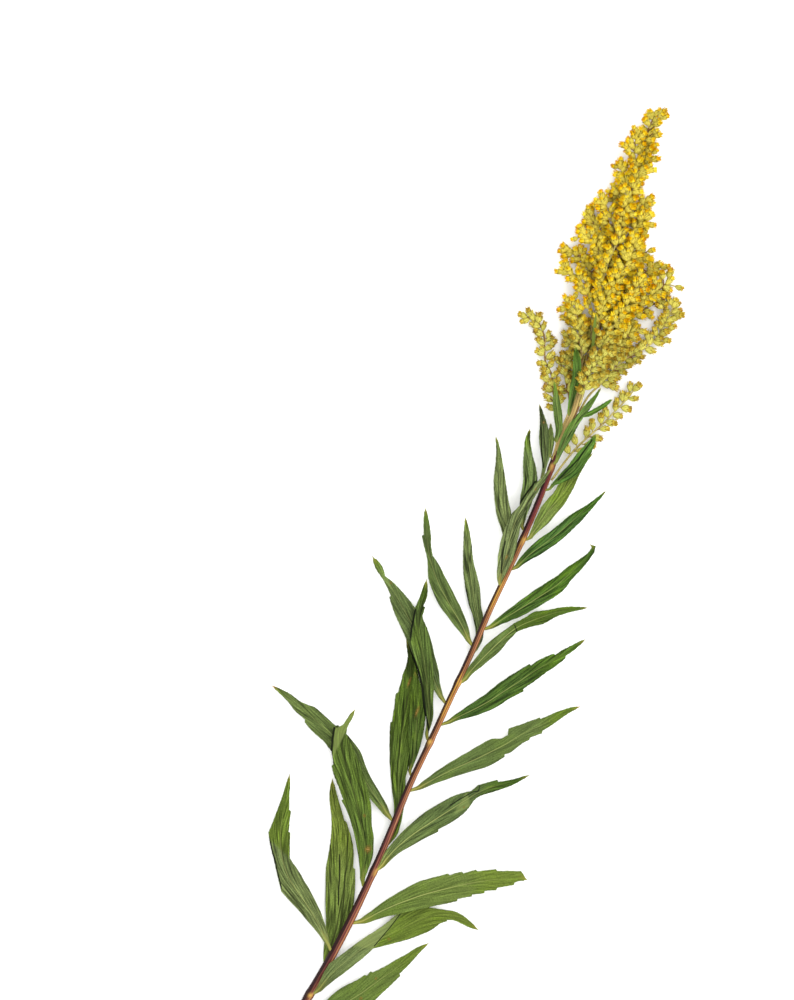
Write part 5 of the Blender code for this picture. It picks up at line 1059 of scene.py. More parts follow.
def leaf_material():
    """Dry leaf: lengthwise fibres that fan out, dark folds of painted shade, faint midrib with painted shade
    beside it, grey and brown places, and dark lines of painted shade and shadow along creases.
    """
    shader = Shader("dry_leaf", 0.65, 0.04)
    blade, (across, along, offset) = shader.read("blade")
    _, (brown, yellow, under) = shader.read("marks")
    _, (tone, edge, grey) = shader.read("tone")
    _, (streak, fresh, rib) = shader.read("folds")
    _, (from_crease, beside_crease, _) = shader.read("painted_crease_shade")
    aside = abs(across)
    fanned = {"X": aside - along * 0.12, "Y": along, "Z": offset + across.math("SIGN")}
    fan = shader.node("CombineXYZ", fanned).outputs[0]
    lines = shader.noise(fan, (1.4, 0.06, 2.0), 3.0, 0.65)
    fibres = shader.noise(fan, (4.5, 0.12, 2.0), 2.0)
    blotches = shader.noise(blade, (0.30, 0.08, 1.0), 3.0, 0.55)
    grain = shader.noise(blade, (2.0, 1.5, 1.0), 4.0, 0.7)
    # Green by its tone, with yellow-green and dark blotches, grey lengths and fresher leaves
    shader.base = shader.ramp(tone, [
        (0.0, 48, 72, 26), (0.3, 70, 96, 34), (0.6, 98, 120, 44), (1.0, 138, 150, 66),
    ])
    shader.tint(blotches.rise(0.50, 0.72, 0.0, 0.5), (112, 140, 34))
    shader.shade(blotches.rise(0.48, 0.28, 0.0, 0.5), 0.60)
    greys = shader.ramp(tone, [
        (0.0, 54, 68, 50), (0.3, 78, 92, 62), (0.6, 108, 122, 78), (1.0, 146, 156, 106),
    ])
    shader.tint(grey * 0.85, greys)
    shader.tint(fresh, shader.times(shader.base, (0.70, 1.06, 0.90)))
    # Dark and light lengthwise lines, fibres and grain. The dark lines and the fold lines are painted shade
    # of fine creases, partly dark veins.
    lined = streak.rise(0.0, 0.8, 0.35, 1.0)
    shader.shade(lines.rise(0.50, 0.38, 0.0, 0.95) * lined, 0.34)
    shader.shade(lines.rise(0.51, 0.66, 0.0, 0.75) * lined, 1.9)
    shader.shade(fibres.rise(0.50, 0.34, 0.0, 0.6), 0.60)
    shader.shade(grain.rise(0.50, 0.34, 0.0, 0.75), 0.45)
    shader.shade(grain.rise(0.53, 0.70, 0.0, 0.7), 1.6)
    folds = shader.fold_lines(blade, (0.50, 0.012, 1.0), 0.042)
    thin = shader.fold_lines(blade, (1.1, 0.02, 2.0), 0.042)
    folds = folds.math("MAXIMUM", thin * 0.7) * grain.rise(0.25, 0.5, 0.5, 1.0)
    shader.shade(folds * streak, 0.20)
    # Yellow foot, pale midrib with painted shade of its groove along both sides, dark outline, and the paler
    # underside
    shader.tint(yellow * aside.rise(0.75, 0.25, 0.3, 1.0), (168, 158, 66))
    shader.shade(abs(aside - 0.42).rise(0.28, 0.0, 0.0, 0.5) * rib, 0.50)
    midrib = aside.rise(0.26, 0.08) * rib
    shader.tint(midrib * edge.rise(0.10, 0.45), (174, 180, 106))
    shader.shade(edge.rise(0.09, 0.0, 0.0, 0.75) * grain.rise(0.35, 0.6, 1.0, 0.3), 0.42)
    shader.tint(under * 0.5, (136, 150, 84))
    # Brown places with a pale middle, and dark lines of painted shade along creases and of painted shadow
    # beside blades that lie on others
    spots = brown + (grain - 0.5) * 1.5
    near = brown.rise(0.05, 0.35)
    shader.tint(spots.rise(0.35, 0.75) * near * 0.6, (122, 94, 40))
    shader.tint(spots.rise(0.85, 1.2) * near * 0.8, (204, 158, 96))
    shader.tint(abs(from_crease).rise(1.15, 0.6, 0.0, 0.96) * beside_crease.rise(0.5, 1.0), (14, 18, 10))
    return shader.finish(lines + grain * 0.6 - midrib * 0.5 - folds * 1.2, 0.0003, 0.5)


def bark_material():
    """Dry stem: purple brown to tan, with painted shade that makes its left side nearly black, painted
    highlights on its lit right side, pale streaks and scars.
    """
    shader = Shader("dry_bark", 0.6, 0.12)
    bark, (_, side, along) = shader.read("bark")
    _, (scar, cut, groove) = shader.read("marks")
    lines = shader.noise(bark, (1.6, 1.6, 0.04), 3.0, 0.6)
    fine = shader.noise(bark, (5.0, 5.0, 0.10), 2.0)
    patches = shader.noise(bark, (0.25, 0.25, 0.030), 2.0)
    # Brown, with tan, golden and straw-coloured lengths
    shader.base = shader.mix(patches.rise(0.40, 0.62), (108, 54, 54), (136, 76, 64))
    shader.tint(along.within(*TAN_LENGTH) * 0.85, (158, 106, 58))
    for length in GOLD_LENGTHS:
        shader.tint(along.within(*length) * 0.8, (206, 154, 58))
    low, high = STRAW_LENGTH
    upper = along.rise(low, high)
    lower = along.rise(high, low)
    shader.tint(upper * 0.88, (214, 192, 116))
    # Streaks, a pale band right of the middle that is a painted highlight of the lit side, a dark band beside
    # it, and a dark red length
    shader.tint(lines.rise(0.52, 0.40, 0.0, 0.8) * upper.rise(1.0, 0.0, 0.6, 1.0), (92, 38, 34))
    shader.tint(fine.rise(0.53, 0.68, 0.0, 0.50), (202, 148, 92))
    waving = side + (patches - 0.5) * 0.9
    shader.tint(abs(waving - 0.85).rise(0.26, 0.10, 0.0, 0.45) * lower, (216, 160, 112))
    shader.tint(abs(waving - 0.35).rise(0.30, 0.10, 0.0, 0.80) * lower, (96, 42, 40))
    shader.tint(along.within(*RED_LENGTH) * 0.80, (96, 26, 38))
    shader.tint(abs(waving - 0.80).rise(0.55, 0.25, 0.0, 0.85) * along.within(*STRIP_LENGTH), (122, 54, 42))
    shader.tint(groove * 0.35, (78, 38, 30))
    # Orange right edge that is a painted highlight, painted shade that makes the left side nearly black, leaf
    # scars and the pith of the cut end
    shader.tint(side.rise(0.7, 1.4) * patches.rise(0.62, 0.42) * 0.6, (176, 96, 44))
    shader.tint((side + (lines - 0.5) * 1.6).rise(0.05, -0.80, 0.0, 0.94), (34, 14, 18))
    shader.tint(side.rise(1.25, 1.55, 0.0, 0.8), (76, 34, 28))
    shader.tint(scar, (206, 164, 78))
    shader.tint(cut, shader.mix(fine.rise(0.4, 0.6), (214, 196, 150), (176, 142, 94)))
    return shader.finish(lines + fine * 0.5, 0.0002, 0.6)


def twig_material():
    """Thin dry stalks of the sprays, straw yellow with green and brown lengths."""
    shader = Shader("dry_twig", 0.6)
    place, _ = shader.read("place")
    _, (chance, _, _) = shader.read("tone")
    lines = shader.noise(place, (1.5, 0.5, 1.0), 3.0, 0.6)
    shader.base = shader.mix(lines.rise(0.35, 0.65), (136, 122, 56), (220, 204, 130))
    shader.tint(chance.rise(0.35, 0.75, 0.0, 0.8), (112, 58, 26))
    return shader.finish(lines, 0.0001, 0.5)


def bract_material():
    """Bracts of the bells: pale lemon with a dark middle line; the bell's body in the gaps between them is
    painted shade.
    """
    shader = Shader("dry_bract", 0.62, 0.04)
    place, (across, along, kind) = shader.read("place")
    _, (chance, gold, _) = shader.read("tone")
    aside = abs(across)
    flecks = shader.noise(place, (2.0, 2.4, 3.0), 3.0, 0.6)
    shader.base = shader.mix(gold, (228, 222, 104), (246, 226, 78))
    shader.tint(chance.rise(0.55, 1.0, 0.0, 0.6), (184, 178, 66))
    shader.tint(flecks.rise(0.42, 0.66, 0.0, 0.5), (250, 242, 138))
    rib = shader.mix(gold, (108, 108, 24), (142, 100, 12))
    shader.tint(aside.rise(0.36, 0.10) * along.rise(0.0, 0.5, 0.35, 0.8), rib)
    shader.tint(aside.rise(0.80, 1.0, 0.0, 0.7), (118, 84, 22))
    shader.tint(along.rise(0.80, 1.0) * chance.rise(0.45, 0.75, 0.0, 0.8), (136, 66, 18))
    # The bell's body under the bracts, dark in the gaps between them: painted shade.
    shader.tint(kind.rise(0.5, 0.2, 0.0, 0.85), (112, 78, 14))
    return shader.finish(flecks, 0.00008, 0.5)


def floret_material():
    """Withered florets: bright yellow at the foot, orange to brown at some tips."""
    shader = Shader("dry_floret", 0.65, 0.04)
    place, (_, along, kind) = shader.read("place")
    _, (_, gold, ripe) = shader.read("tone")
    flecks = shader.noise(place, (2.5, 3.0, 5.0), 3.0, 0.6)
    ripeness = along * 0.36 + flecks * 0.35 + ripe * 0.36
    green = shader.ramp(ripeness, [(0.25, 226, 212, 96), (0.55, 208, 180, 56), (0.90, 146, 102, 30)])
    golden = shader.ramp(ripeness, [
        (0.26, 255, 238, 84), (0.52, 252, 218, 16), (0.76, 240, 168, 4), (0.94, 140, 66, 6),
    ])
    shader.base = shader.mix(gold.rise(0.1, 0.7), green, golden)
    dome = shader.mix(ripe.rise(-0.25, 0.30), (242, 208, 44), (168, 92, 10))
    shader.tint(kind.rise(0.8, 0.6, 0.0, 0.75), dome)
    return shader.finish(flecks, 0.00008, 0.5)


def floor_material():
    """Plain pale ground with a faint tooth."""
    shader = Shader("pale_ground", 0.9, 0.1, 1.0)
    place = shader.node("TexCoord", {}).outputs["Object"]
    grain = shader.noise(place, (300.0, 300.0, 300.0), 2.0)
    shader.base = shader.mix(grain.rise(0.3, 0.7), (250, 250, 249), (246, 246, 245))
    return shader.finish(grain, 0.00005, 0.2)


def new_object(name, data):
    made = bpy.data.objects.new(name, data)
    bpy.context.scene.collection.objects.link(made)
    return made


def new_piece(node, points, triangles, kinds, materials, attributes):
    """A smooth mesh piece that stands for a CAD node, from points in millimetres from the cut end."""
    name = node + "_look"
    placed = (np.asarray(points, dtype=float) - np.array([MIDDLE_X, MIDDLE_Y, 0.0])) * METRES
    triangles = np.asarray(triangles, dtype=np.int32)
    mesh = bpy.data.meshes.new(name)
    mesh.vertices.add(len(placed))
    mesh.vertices.foreach_set("co", placed.astype(np.float32).ravel())
    mesh.loops.add(3 * len(triangles))
    mesh.loops.foreach_set("vertex_index", triangles.ravel())
    mesh.polygons.add(len(triangles))
    mesh.polygons.foreach_set("loop_start", np.arange(0, 3 * len(triangles), 3, dtype=np.int32))
    for material in materials:
        mesh.materials.append(material)
    mesh.polygons.foreach_set("material_index", np.asarray(kinds, dtype=np.int32))
    mesh.polygons.foreach_set("use_smooth", np.ones(len(triangles), dtype=bool))
    for key, values in attributes.items():
        layer = mesh.attributes.new(key, "FLOAT_VECTOR", "POINT")
        layer.data.foreach_set("vector", np.asarray(values, dtype=np.float32).ravel())
    mesh.update()
    mesh.validate()
    piece = new_object(name, mesh)
    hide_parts(node)
    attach(piece, "root")
    return piece


def grid_triangles(rows, columns, closed, flip=False):
    """Triangles between the points of a grid, which closes round its columns if asked."""
    steps = np.arange(columns if closed else columns - 1)
    row, column = np.meshgrid(np.arange(rows - 1), steps, indexing="ij")
    a = (row * columns + column).ravel()
    b = (row * columns + (column + 1) % columns).ravel()
    halves = [(a, b, b + columns), (a, b + columns, a + columns)]
    if flip:
        halves = [(p, r, q) for p, q, r in halves]
    return np.concatenate([np.stack(half, axis=1) for half in halves])


def waves(values, draw, count, shortest, longest):
    """A smooth uneven curve over the values, between about minus one and one."""
    total = np.zeros_like(values, dtype=float)
    for _ in range(count):
        length = draw.uniform(shortest, longest)
        total += np.sin(2 * math.pi * values / length + draw.uniform(0, 2 * math.pi))
    return total / math.sqrt(count)


def flowing(shares, places, wanted):
    """A smooth curve through the places, read at the wanted shares, with a corner where it turns sharply."""
    spans = np.diff(shares)
    slopes = np.diff(places, axis=0) / spans[:, None]
    flat = units(slopes[:, :2])
    turned = np.degrees(np.arccos(np.clip((flat[:-1] * flat[1:]).sum(axis=1), -1.0, 1.0)))
    before, after = spans[:-1, None], spans[1:, None]
    shared = (slopes[:-1] * after + slopes[1:] * before) / (before + after)
    is_smooth = (turned < CORNER_TURN)[:, None]
    leaving = np.concatenate([slopes[:1], np.where(is_smooth, shared, slopes[1:])])
    arriving = np.concatenate([np.where(is_smooth, shared, slopes[:-1]), slopes[-1:]])
    i = np.clip(np.searchsorted(shares, wanted, side="right") - 1, 0, len(shares) - 2)
    span = spans[i, None]
    u = (wanted - shares[i])[:, None] / span
    return eased(u, span, places[i], leaving[i], places[i + 1], arriving[i])


def fine_shares(shares):
    """Shares of the length for the fine rows, which meet every chosen cross-section."""
    runs = [
        np.linspace(low, high, max(1, round((high - low) * LEAF_ROWS)) + 1)[:-1]
        for low, high in zip(shares, shares[1:])
    ]
    return np.concatenate([*runs, [1.0]])


def small_teeth(along, shares, draw):
    """How far one edge stands out: fine forward-pointing teeth and a slight wander."""
    turn = (along / SMALL_TOOTH_PITCH + 0.3 * waves(along, draw, *TOOTH_WAVES)) % 1.0
    saw = np.where(turn < TOOTH_RISE, turn / TOOTH_RISE, (1 - turn) / (1 - TOOTH_RISE))
    inside = np.clip((shares - SMALL_TEETH_FROM) / SMALL_TEETH_FADE, 0, 1)
    return inside * SMALL_TOOTH * (saw - 0.5) + EDGE_WANDER * waves(along, draw, *WANDER_WAVES)


def beside_line(points, x0, y0, x1, y1):
    """How far the points lie along a line and to its left, and the line's length."""
    length = math.hypot(x1 - x0, y1 - y0)
    ahead = np.array([x1 - x0, y1 - y0]) / length
    from_start = points[:, :2] - np.array([x0, y0])
    return from_start @ ahead, ahead[0] * from_start[:, 1] - ahead[1] * from_start[:, 0], length


def shade_along_creases(points, half_width, route):
    """How many half widths each point lies to the left of the line, and one beside it or nothing past it."""
    nearest = np.full(len(points), FAR_AWAY)
    beside = np.ones(len(points))
    for k, (start, end) in enumerate(zip(route, route[1:])):
        run, aside, length = beside_line(points, *start, *end)
        away = np.hypot(aside, run - np.clip(run, 0, length))
        nearest = np.where(away < np.abs(nearest), np.where(aside < 0, -away, away), nearest)
        if k == 0:
            beside *= np.clip(1 + run, 0, 1)
        if k == len(route) - 2:
            beside *= np.clip(1 + length - run, 0, 1)
    return np.stack([nearest / half_width, beside, np.zeros(len(points))], axis=1)


def straightened(middles, shares):
    """The midline with its small turns smoothed out, and its two ends kept."""
    nearness = np.exp(-0.5 * ((shares[:, None] - shares[None, :]) / MIDLINE_SPREAD) ** 2)
    nearness *= np.gradient(shares)[None, :]
    smooth = nearness @ middles / nearness.sum(axis=1)[:, None]
    kept = np.clip(np.minimum(shares, 1 - shares) / (2 * MIDLINE_SPREAD), 0, 1)[:, None]
    return middles + kept * (smooth - middles)


def left_share(points, ends):
    """One for the points left of the line from its first to its second end, nothing for those right of it."""
    _, aside, _ = beside_line(points, *ends)
    return np.clip(0.5 + aside / PATCH_FADE, 0, 1)


def blade_rows(leaf, number, draw):
    """For each fine row of a blade: its share and run along it, middle, half widths, sides and way up."""
    chosen, lefts, centres, rights = leaf_blade(leaf, float(number))
    shares = fine_shares(chosen)
    apart = np.linalg.norm(np.diff(centres, axis=0), axis=1)
    whole = np.concatenate([[True], apart > 2 * TOOTH_STEP])
    middles = straightened(flowing(chosen[whole], centres[whole], shares), shares)
    sides = [flowing(chosen, edge, shares) - middles for edge in (lefts, rights)]
    ups = units(np.cross(sides[1] - sides[0], np.gradient(middles, axis=0)))
    along = run_along(middles)
    inward = -outward_at(math.radians(leaf["side"]))
    middles += np.outer(FOOT_RUN * np.clip(1 - shares / FOOT_SHARE, 0, 1), inward)
    halves = []
    for k, side in enumerate(sides):
        reach = np.linalg.norm(side, axis=1)
        narrow = np.clip((1 - shares) / POINT_SHARE, 0, 1)
        wanted = POINT_HALF + (reach + small_teeth(along, shares, draw) - POINT_HALF) * narrow
        halves.append(np.maximum(wanted, POINT_HALF))
        sides[k] = side / reach[:, None]
    return shares, along, middles, halves, sides, ups


def leaf_brown(name, surface, share):
    """How brown the points of one row are: in the leaf's brown places and at its very tip."""
    spots = (
        np.exp(-((surface[:, 0] - x) ** 2 + ((surface[:, 1] - y) / length) ** 2) / radius ** 2)
        for owner, x, y, radius, length in BROWN_SPOTS if owner == name
    )
    tip = 0.5 * max(0.0, (share - BROWN_TIP_FROM) / (1 - BROWN_TIP_FROM))
    return sum(spots) + tip * np.ones(LEAF_COLUMNS)


def build_leaf(name, leaf, number, material):
    """One blade: two skins through the solid's edges, with folds, fine teeth and marks."""
    draw = np.random.default_rng(LEAF_SEED + number)
    shares, along, middles, halves, sides, ups = blade_rows(leaf, number, draw)
    columns = np.linspace(-1.0, 1.0, LEAF_COLUMNS)
    part = np.abs(columns)
    hand = (columns > 0).astype(int)
    drift = PLEAT_DRIFT * waves(along, draw, *PLEAT_WAVES)
    lean = waves(along, draw, *LEAN_WAVES)
    foot_tone, tip_tone, grey, grey_end, streak, rib = LEAF_LOOKS[name]
    ribs = 0.8 * rib * np.clip((RIB_END - shares) / RIB_FADE, 0, 1)
    row = np.ones(LEAF_COLUMNS)
    tops, bottoms, blade, marks, tones = [], [], [], [], []
    for i, share in enumerate(shares):
        width = np.where(hand, halves[1][i], halves[0][i])
        out = np.where(hand[:, None], sides[1][i], sides[0][i])
        full = min(1.0, width.mean() / FULL_HALF)
        pleats = np.sin(2 * math.pi * part * width / PLEAT_PITCH + drift[i]) * np.sin(math.pi * part)
        crinkles = part * lean[i] * np.where(hand, -0.7, 1.0)
        surface = middles[i] + out * (width * part)[:, None]
        surface[:, 2] = middles[i][2] + out[:, 2] * width * part ** SAG
        surface += np.outer(full * (PLEAT_DEPTH * pleats + CRINKLE * crinkles), ups[i])
        thick = LEAF_HALF_THICKNESS * np.sqrt(1 - EDGE_TAPER * part ** 2)
        thick += FOOT_EXTRA * math.exp(-share / FOOT_FADE)
        groove = MIDRIB_DEPTH * full * np.exp(-(part * width / MIDRIB_HALF) ** 2)
        tops.append(surface + np.outer(thick - 0.6 * groove, ups[i]))
        bottoms.append(surface - np.outer(thick + 1.6 * groove, ups[i]))
        blade.append(np.stack([columns * width, row * along[i], row * number * 7.0], 1))
        yellow_tip = max(0.0, (share - YELLOW_TIP_FROM) / (1 - YELLOW_TIP_FROM))
        yellow = 0.6 * yellow_tip + (0.3 + 0.9 * rib) * max(0.0, 1 - share / YELLOW_FOOT_TO)
        marks.append(np.stack([leaf_brown(name, surface, share), row * yellow, row * 0.0], 1))
        greyness = grey * min(max((grey_end + GREY_FADE / 2 - share) / GREY_FADE, 0.0), 1.0)
        tone = foot_tone + (tip_tone - foot_tone) * share
        tones.append(np.stack([row * tone, 1 - part, row * greyness], 1))
    upper, lower, marks, tones = (np.concatenate(rows) for rows in (tops, bottoms, marks, tones))
    for owner, *corners in TURNED_PATCHES:
        if owner == name:
            inside = [left_share(upper, (*corners[k - 1], *corners[k])) for k in range(3)]
            marks[:, 2] += inside[0] * inside[1] * inside[2]
    if name in GREY_LINES:
        tones[:, 2] *= left_share(upper, GREY_LINES[name])
    below = marks.copy()
    below[:, 2] = UNDER_PALE
    points = np.concatenate([upper, lower])
    points[:, 2] = np.maximum(points[:, 2], LEAF_LOWEST)
    every = np.ones(len(upper))
    folds = np.stack([every * streak, every * FRESH_LEAVES.get(name, 0.0), np.repeat(ribs, LEAF_COLUMNS)], 1)
    attributes = {
        "blade": np.concatenate(blade * 2),
        "marks": np.concatenate([marks, below]),
        "tone": np.concatenate([tones, tones]),
        "folds": np.concatenate([folds, folds]),
        "painted_crease_shade": np.tile(shade_along_creases(upper, *SHADED_CREASES.get(name, NO_CREASE)), (2, 1)),
    }
    skins = [grid_triangles(len(shares), LEAF_COLUMNS, False, flip) for flip in (True, False)]
    triangles = np.concatenate([skins[0], skins[1] + len(upper)])
    new_piece(name, points, triangles, np.zeros(len(triangles)), [material], attributes)


def build_stem(material):
    """Ribbed bark with scars, a cut end and short hairs."""
    draw = np.random.default_rng(STEM_SEED)
    last = STEM_ROUTE[-1][1]
    heights = np.linspace(0.0, last, int(last / BARK_STEP) + 1)
    shares = np.interp(heights, STEM_SAMPLES[:, 1], np.linspace(0, 1, len(STEM_SAMPLES)))
    turns = 2 * math.pi * (np.arange(BARK_SIDES) + 0.5) / BARK_SIDES
    sway = 0.25 * waves(heights, draw, 4, 15.0, 80.0)
    points, bark, marks = [], [], []
    for height, share, twist in zip(heights, shares, sway):
        _, across, up = frame_at(STEM_CURVE, share)
        ribs = np.cos(BARK_RIBS * turns + twist) * RIB_DEPTH * (1 if height > STEM_FLAT_LENGTH else FLAT_RIBS)
        radius = stem_radius(height) * (1 - RIB_DEPTH + ribs)
        scar = np.zeros(BARK_SIDES)
        for place, side in zip(STEM_SCARS, SCAR_SIDES):
            side = math.pi / 2 - math.radians(side)
            apart = np.abs((turns - side + math.pi) % (2 * math.pi) - math.pi) * stem_radius(place)
            scar += np.exp(-((height - place) / SCAR_HALF) ** 2 - (apart / SCAR_HALF) ** 2)
        radius = radius + SCAR_HEIGHT * scar
        outward = np.outer(np.sin(turns), across) + np.outer(np.cos(turns), up)
        ring = STEM_CURVE.at(share) + outward * radius[:, None]
        points.append(ring)
        around = [np.cos(turns) * BARK_PATTERN, np.sin(turns) * BARK_PATTERN]
        bark.append(np.stack([*around, np.full(BARK_SIDES, height)], 1))
        low = np.clip(-ribs / RIB_DEPTH, 0, 1)
        marks.append(np.stack([np.clip(scar * 1.2, 0, 1), np.zeros(BARK_SIDES), low], 1))
    points[0][:, 1] += 0.3 * np.sin(turns * 2 + 1)
    rings = len(points)
    points = np.concatenate(points)
    points[:, 2] = np.maximum(points[:, 2], STEM_LOWEST)
    bark = np.concatenate(bark)
    marks = np.concatenate(marks)
    triangles = [grid_triangles(rings, BARK_SIDES, True, True)]
    for ring, turned in ((0, False), (rings - 1, True)):
        rim = points[ring * BARK_SIDES:(ring + 1) * BARK_SIDES]
        middle = rim.mean(axis=0)
        inner = middle + (rim - middle) * PITH_SHARE + np.array([0.0, -0.1 if turned else PITH_DEPTH, 0.0])
        start = len(points)
        points = np.concatenate([points, rim, inner, [middle + np.array([0.0, 0.1, 0.0])]])
        bark = np.concatenate([bark, rim, inner, [middle]])
        marks = np.concatenate([marks, np.tile([0.0, 1.0, 0.0], (2 * BARK_SIDES + 1, 1))])
        triangles.append(grid_triangles(2, BARK_SIDES, True, not turned) + start)
        k = np.arange(BARK_SIDES)
        fan = np.stack([start + BARK_SIDES + k, start + BARK_SIDES + (k + 1) % BARK_SIDES,
                        np.full(BARK_SIDES, start + 2 * BARK_SIDES)], 1)
        triangles.append(fan[:, ::-1] if not turned else fan)
    for k, stalk in enumerate(STRAW_STALKS):
        heap = Heap()
        radii = STRAW_RADIUS * np.interp(np.arange(STRAW_RINGS), *STRAW_TAPER)
        add_tube(heap, stalk_spots(*stalk), radii, (0.0, 0.0, 0.0))
        tube, tube_triangles, _, place, _ = heap.joined()
        # Each stalk's side value falls towards its edges, so the bark's painted shade darkens them: painted
        # shade in the gaps between the stalks.
        straw = np.stack([place[:, 0], 0.5 - 1.2 * place[:, 0] ** 2, STRAW_BARK + place[:, 1] + 20.0 * k], 1)
        triangles.append(tube_triangles + len(points))
        points = np.concatenate([points, tube])
        bark = np.concatenate([bark, straw])
        marks = np.concatenate([marks, np.zeros((len(tube), 3))])
    hairs, hair_triangles = stem_hairs(draw, len(points))
    points = np.concatenate([points, hairs])
    bark = np.concatenate([bark, hairs * np.array([0.1, 0.0, 0.1]) + np.array([0.0, 0.0, HAIR_BARK])])
    marks = np.concatenate([marks, np.tile([0.5, 0.0, 0.0], (len(hairs), 1))])
    triangles = np.concatenate([*triangles, hair_triangles])
    attributes = {"bark": bark, "marks": marks}
    new_piece("stem", points, triangles, np.zeros(len(triangles)), [material], attributes)


def stalk_spots(low, high, first, last):
    """The middles of a stalk that lies on the stem and leaves it to one side."""
    spots = []
    for share in np.linspace(0.0, 1.0, STRAW_RINGS):
        height = low + (high - low) * share
        aside = first + (last - first) * share
        reach = stem_radius(height) + 0.5 * STRAW_RADIUS
        rise = math.sqrt(max(reach ** 2 - aside ** 2, 0.3))
        spots.append(stem_place(height) + np.array([aside, 0.0, rise]))
    return spots


def stem_hairs(draw, start):
    """Short pale hairs on the upper half of the stem, each a thin three-sided spike."""
    points, triangles = [], []
    for _ in range(STEM_HAIRS):
        height = draw.uniform(*HAIRY_LENGTH)
        turn = draw.uniform(HAIRY_TURNS[0] * math.pi, HAIRY_TURNS[1] * math.pi)
        outward = outward_at(turn)
        root = stem_place(height) + outward * stem_radius(height) * HAIR_ROOT
        lean = [0.0, draw.uniform(*HAIR_FORWARD), draw.uniform(-HAIR_ASIDE, HAIR_ASIDE)]
        heading = unit(outward + np.array(lean))
        side = unit(np.cross(heading, (0.0, 1.0, 0.0)))
        other = np.cross(heading, side)
        first = start + len(points)
        for k in range(3):
            angle = 2 * math.pi * k / 3
            points.append(root + HAIR_RADIUS * (math.cos(angle) * side + math.sin(angle) * other))
        points.append(root + heading * HAIR_LENGTH * draw.uniform(*HAIR_LENGTHS))
        triangles += [(first + k, first + (k + 1) % 3, first + 3) for k in range(3)]
    return np.array(points), np.array(triangles)


class Heap:
    """Points, triangles and marks of many small forms, gathered into one mesh."""

    def __init__(self):
        self.points, self.triangles, self.kinds, self.place, self.tone = [], [], [], [], []
        self.count = 0

    def add(self, points, triangles, kinds, place, tone=(0.0, 0.0, 0.0)):
        """One more form. One kind may stand for all its triangles, and one tone for all its points."""
        self.points.append(np.asarray(points, dtype=float))
        self.triangles.append(np.asarray(triangles) + self.count)
        self.kinds.append(np.broadcast_to(kinds, len(triangles)))
        self.place.append(place)
        self.tone.append(np.broadcast_to(tone, (len(points), 3)))
        self.count += len(points)

    def joined(self):
        parts = (self.points, self.triangles, self.kinds, self.place, self.tone)
        return [np.concatenate(part) for part in parts]


def bell_radius(height):
    heights, radii = zip(*BELL_PROFILE)
    return float(np.interp(height, heights, radii))


def add_turned(heap, profile, kind, mark):
    """A round form from its profile."""
    turns = 2 * math.pi * np.arange(BELL_SIDES) / BELL_SIDES
    points = [(r * math.cos(t), r * math.sin(t), z) for z, r in profile for t in turns]
    place = [(math.sin(3 * t), i / len(profile), mark) for i in range(len(profile)) for t in turns]
    heap.add(points, grid_triangles(len(profile), BELL_SIDES, True), kind, place)


def add_bract(heap, row, middle, reach, half, flare):
    """One bract of the bell: three rows of three points, and its tip."""
    low = BRACT_ROWS[row][0]
    points, place = [], []
    for t, width in BRACT_WIDTHS:
        height = low + (reach - low) * t
        for s in (-1, 0, 1):
            angle = middle + s * half * width
            radius = bell_radius(height) + 0.05 + 0.03 * row + BRACT_RIDGE * (s == 0) + flare * t ** 3
            points.append((radius * math.cos(angle), radius * math.sin(angle), height))
            place.append((s, t, 1.0))
    radius = bell_radius(reach) + 0.12 + flare
    points.append((radius * math.cos(middle), radius * math.sin(middle), reach))
    place.append((0.0, 1.0, 1.0))
    tip = len(points) - 1
    triangles = np.concatenate([grid_triangles(3, 3, False), [(6, 7, tip), (7, 8, tip)]])
    heap.add(points, triangles, BRACT, place)


def add_floret(heap, k, draw):
    """One withered floret: a narrow strip that curls and twists. Every second one starts near the rim."""
    angle = 2 * math.pi * (k + draw.uniform(*FLORET_SHIFT)) / FLORETS
    foot = draw.uniform(*(FLORET_OUTER if k % 2 else FLORET_INNER))
    reach = draw.uniform(*FLORET_REACH) * (0.4 + 0.6 * foot)
    top = draw.uniform(*FLORET_TOPS)
    curl = draw.uniform(*FLORET_CURL)
    twist = draw.uniform(*FLORET_TWIST)
    width = draw.uniform(*FLORET_HALF)
    ripe = draw.uniform(0.0, 1.0)
    points, place = [], []
    for t, share in FLORET_WIDTHS:
        radius = foot + reach * t ** 1.4
        height = FLORET_FOOT + (top - FLORET_FOOT) * (t + curl * (t ** 3 - t) * 0.6)
        around = angle + 0.25 * twist * t
        spot = np.array([radius * math.cos(around), radius * math.sin(around), height])
        side = np.array([-math.sin(around + twist * t), math.cos(around + twist * t), 0.3 * twist * t])
        points += [spot - side * width * share, spot + side * width * share]
        place += [(-1.0, t, 1.0), (1.0, t, 1.0)]
    heap.add(points, grid_triangles(len(FLORET_WIDTHS), 2, False), FLORET, place, (0.0, 0.0, ripe))


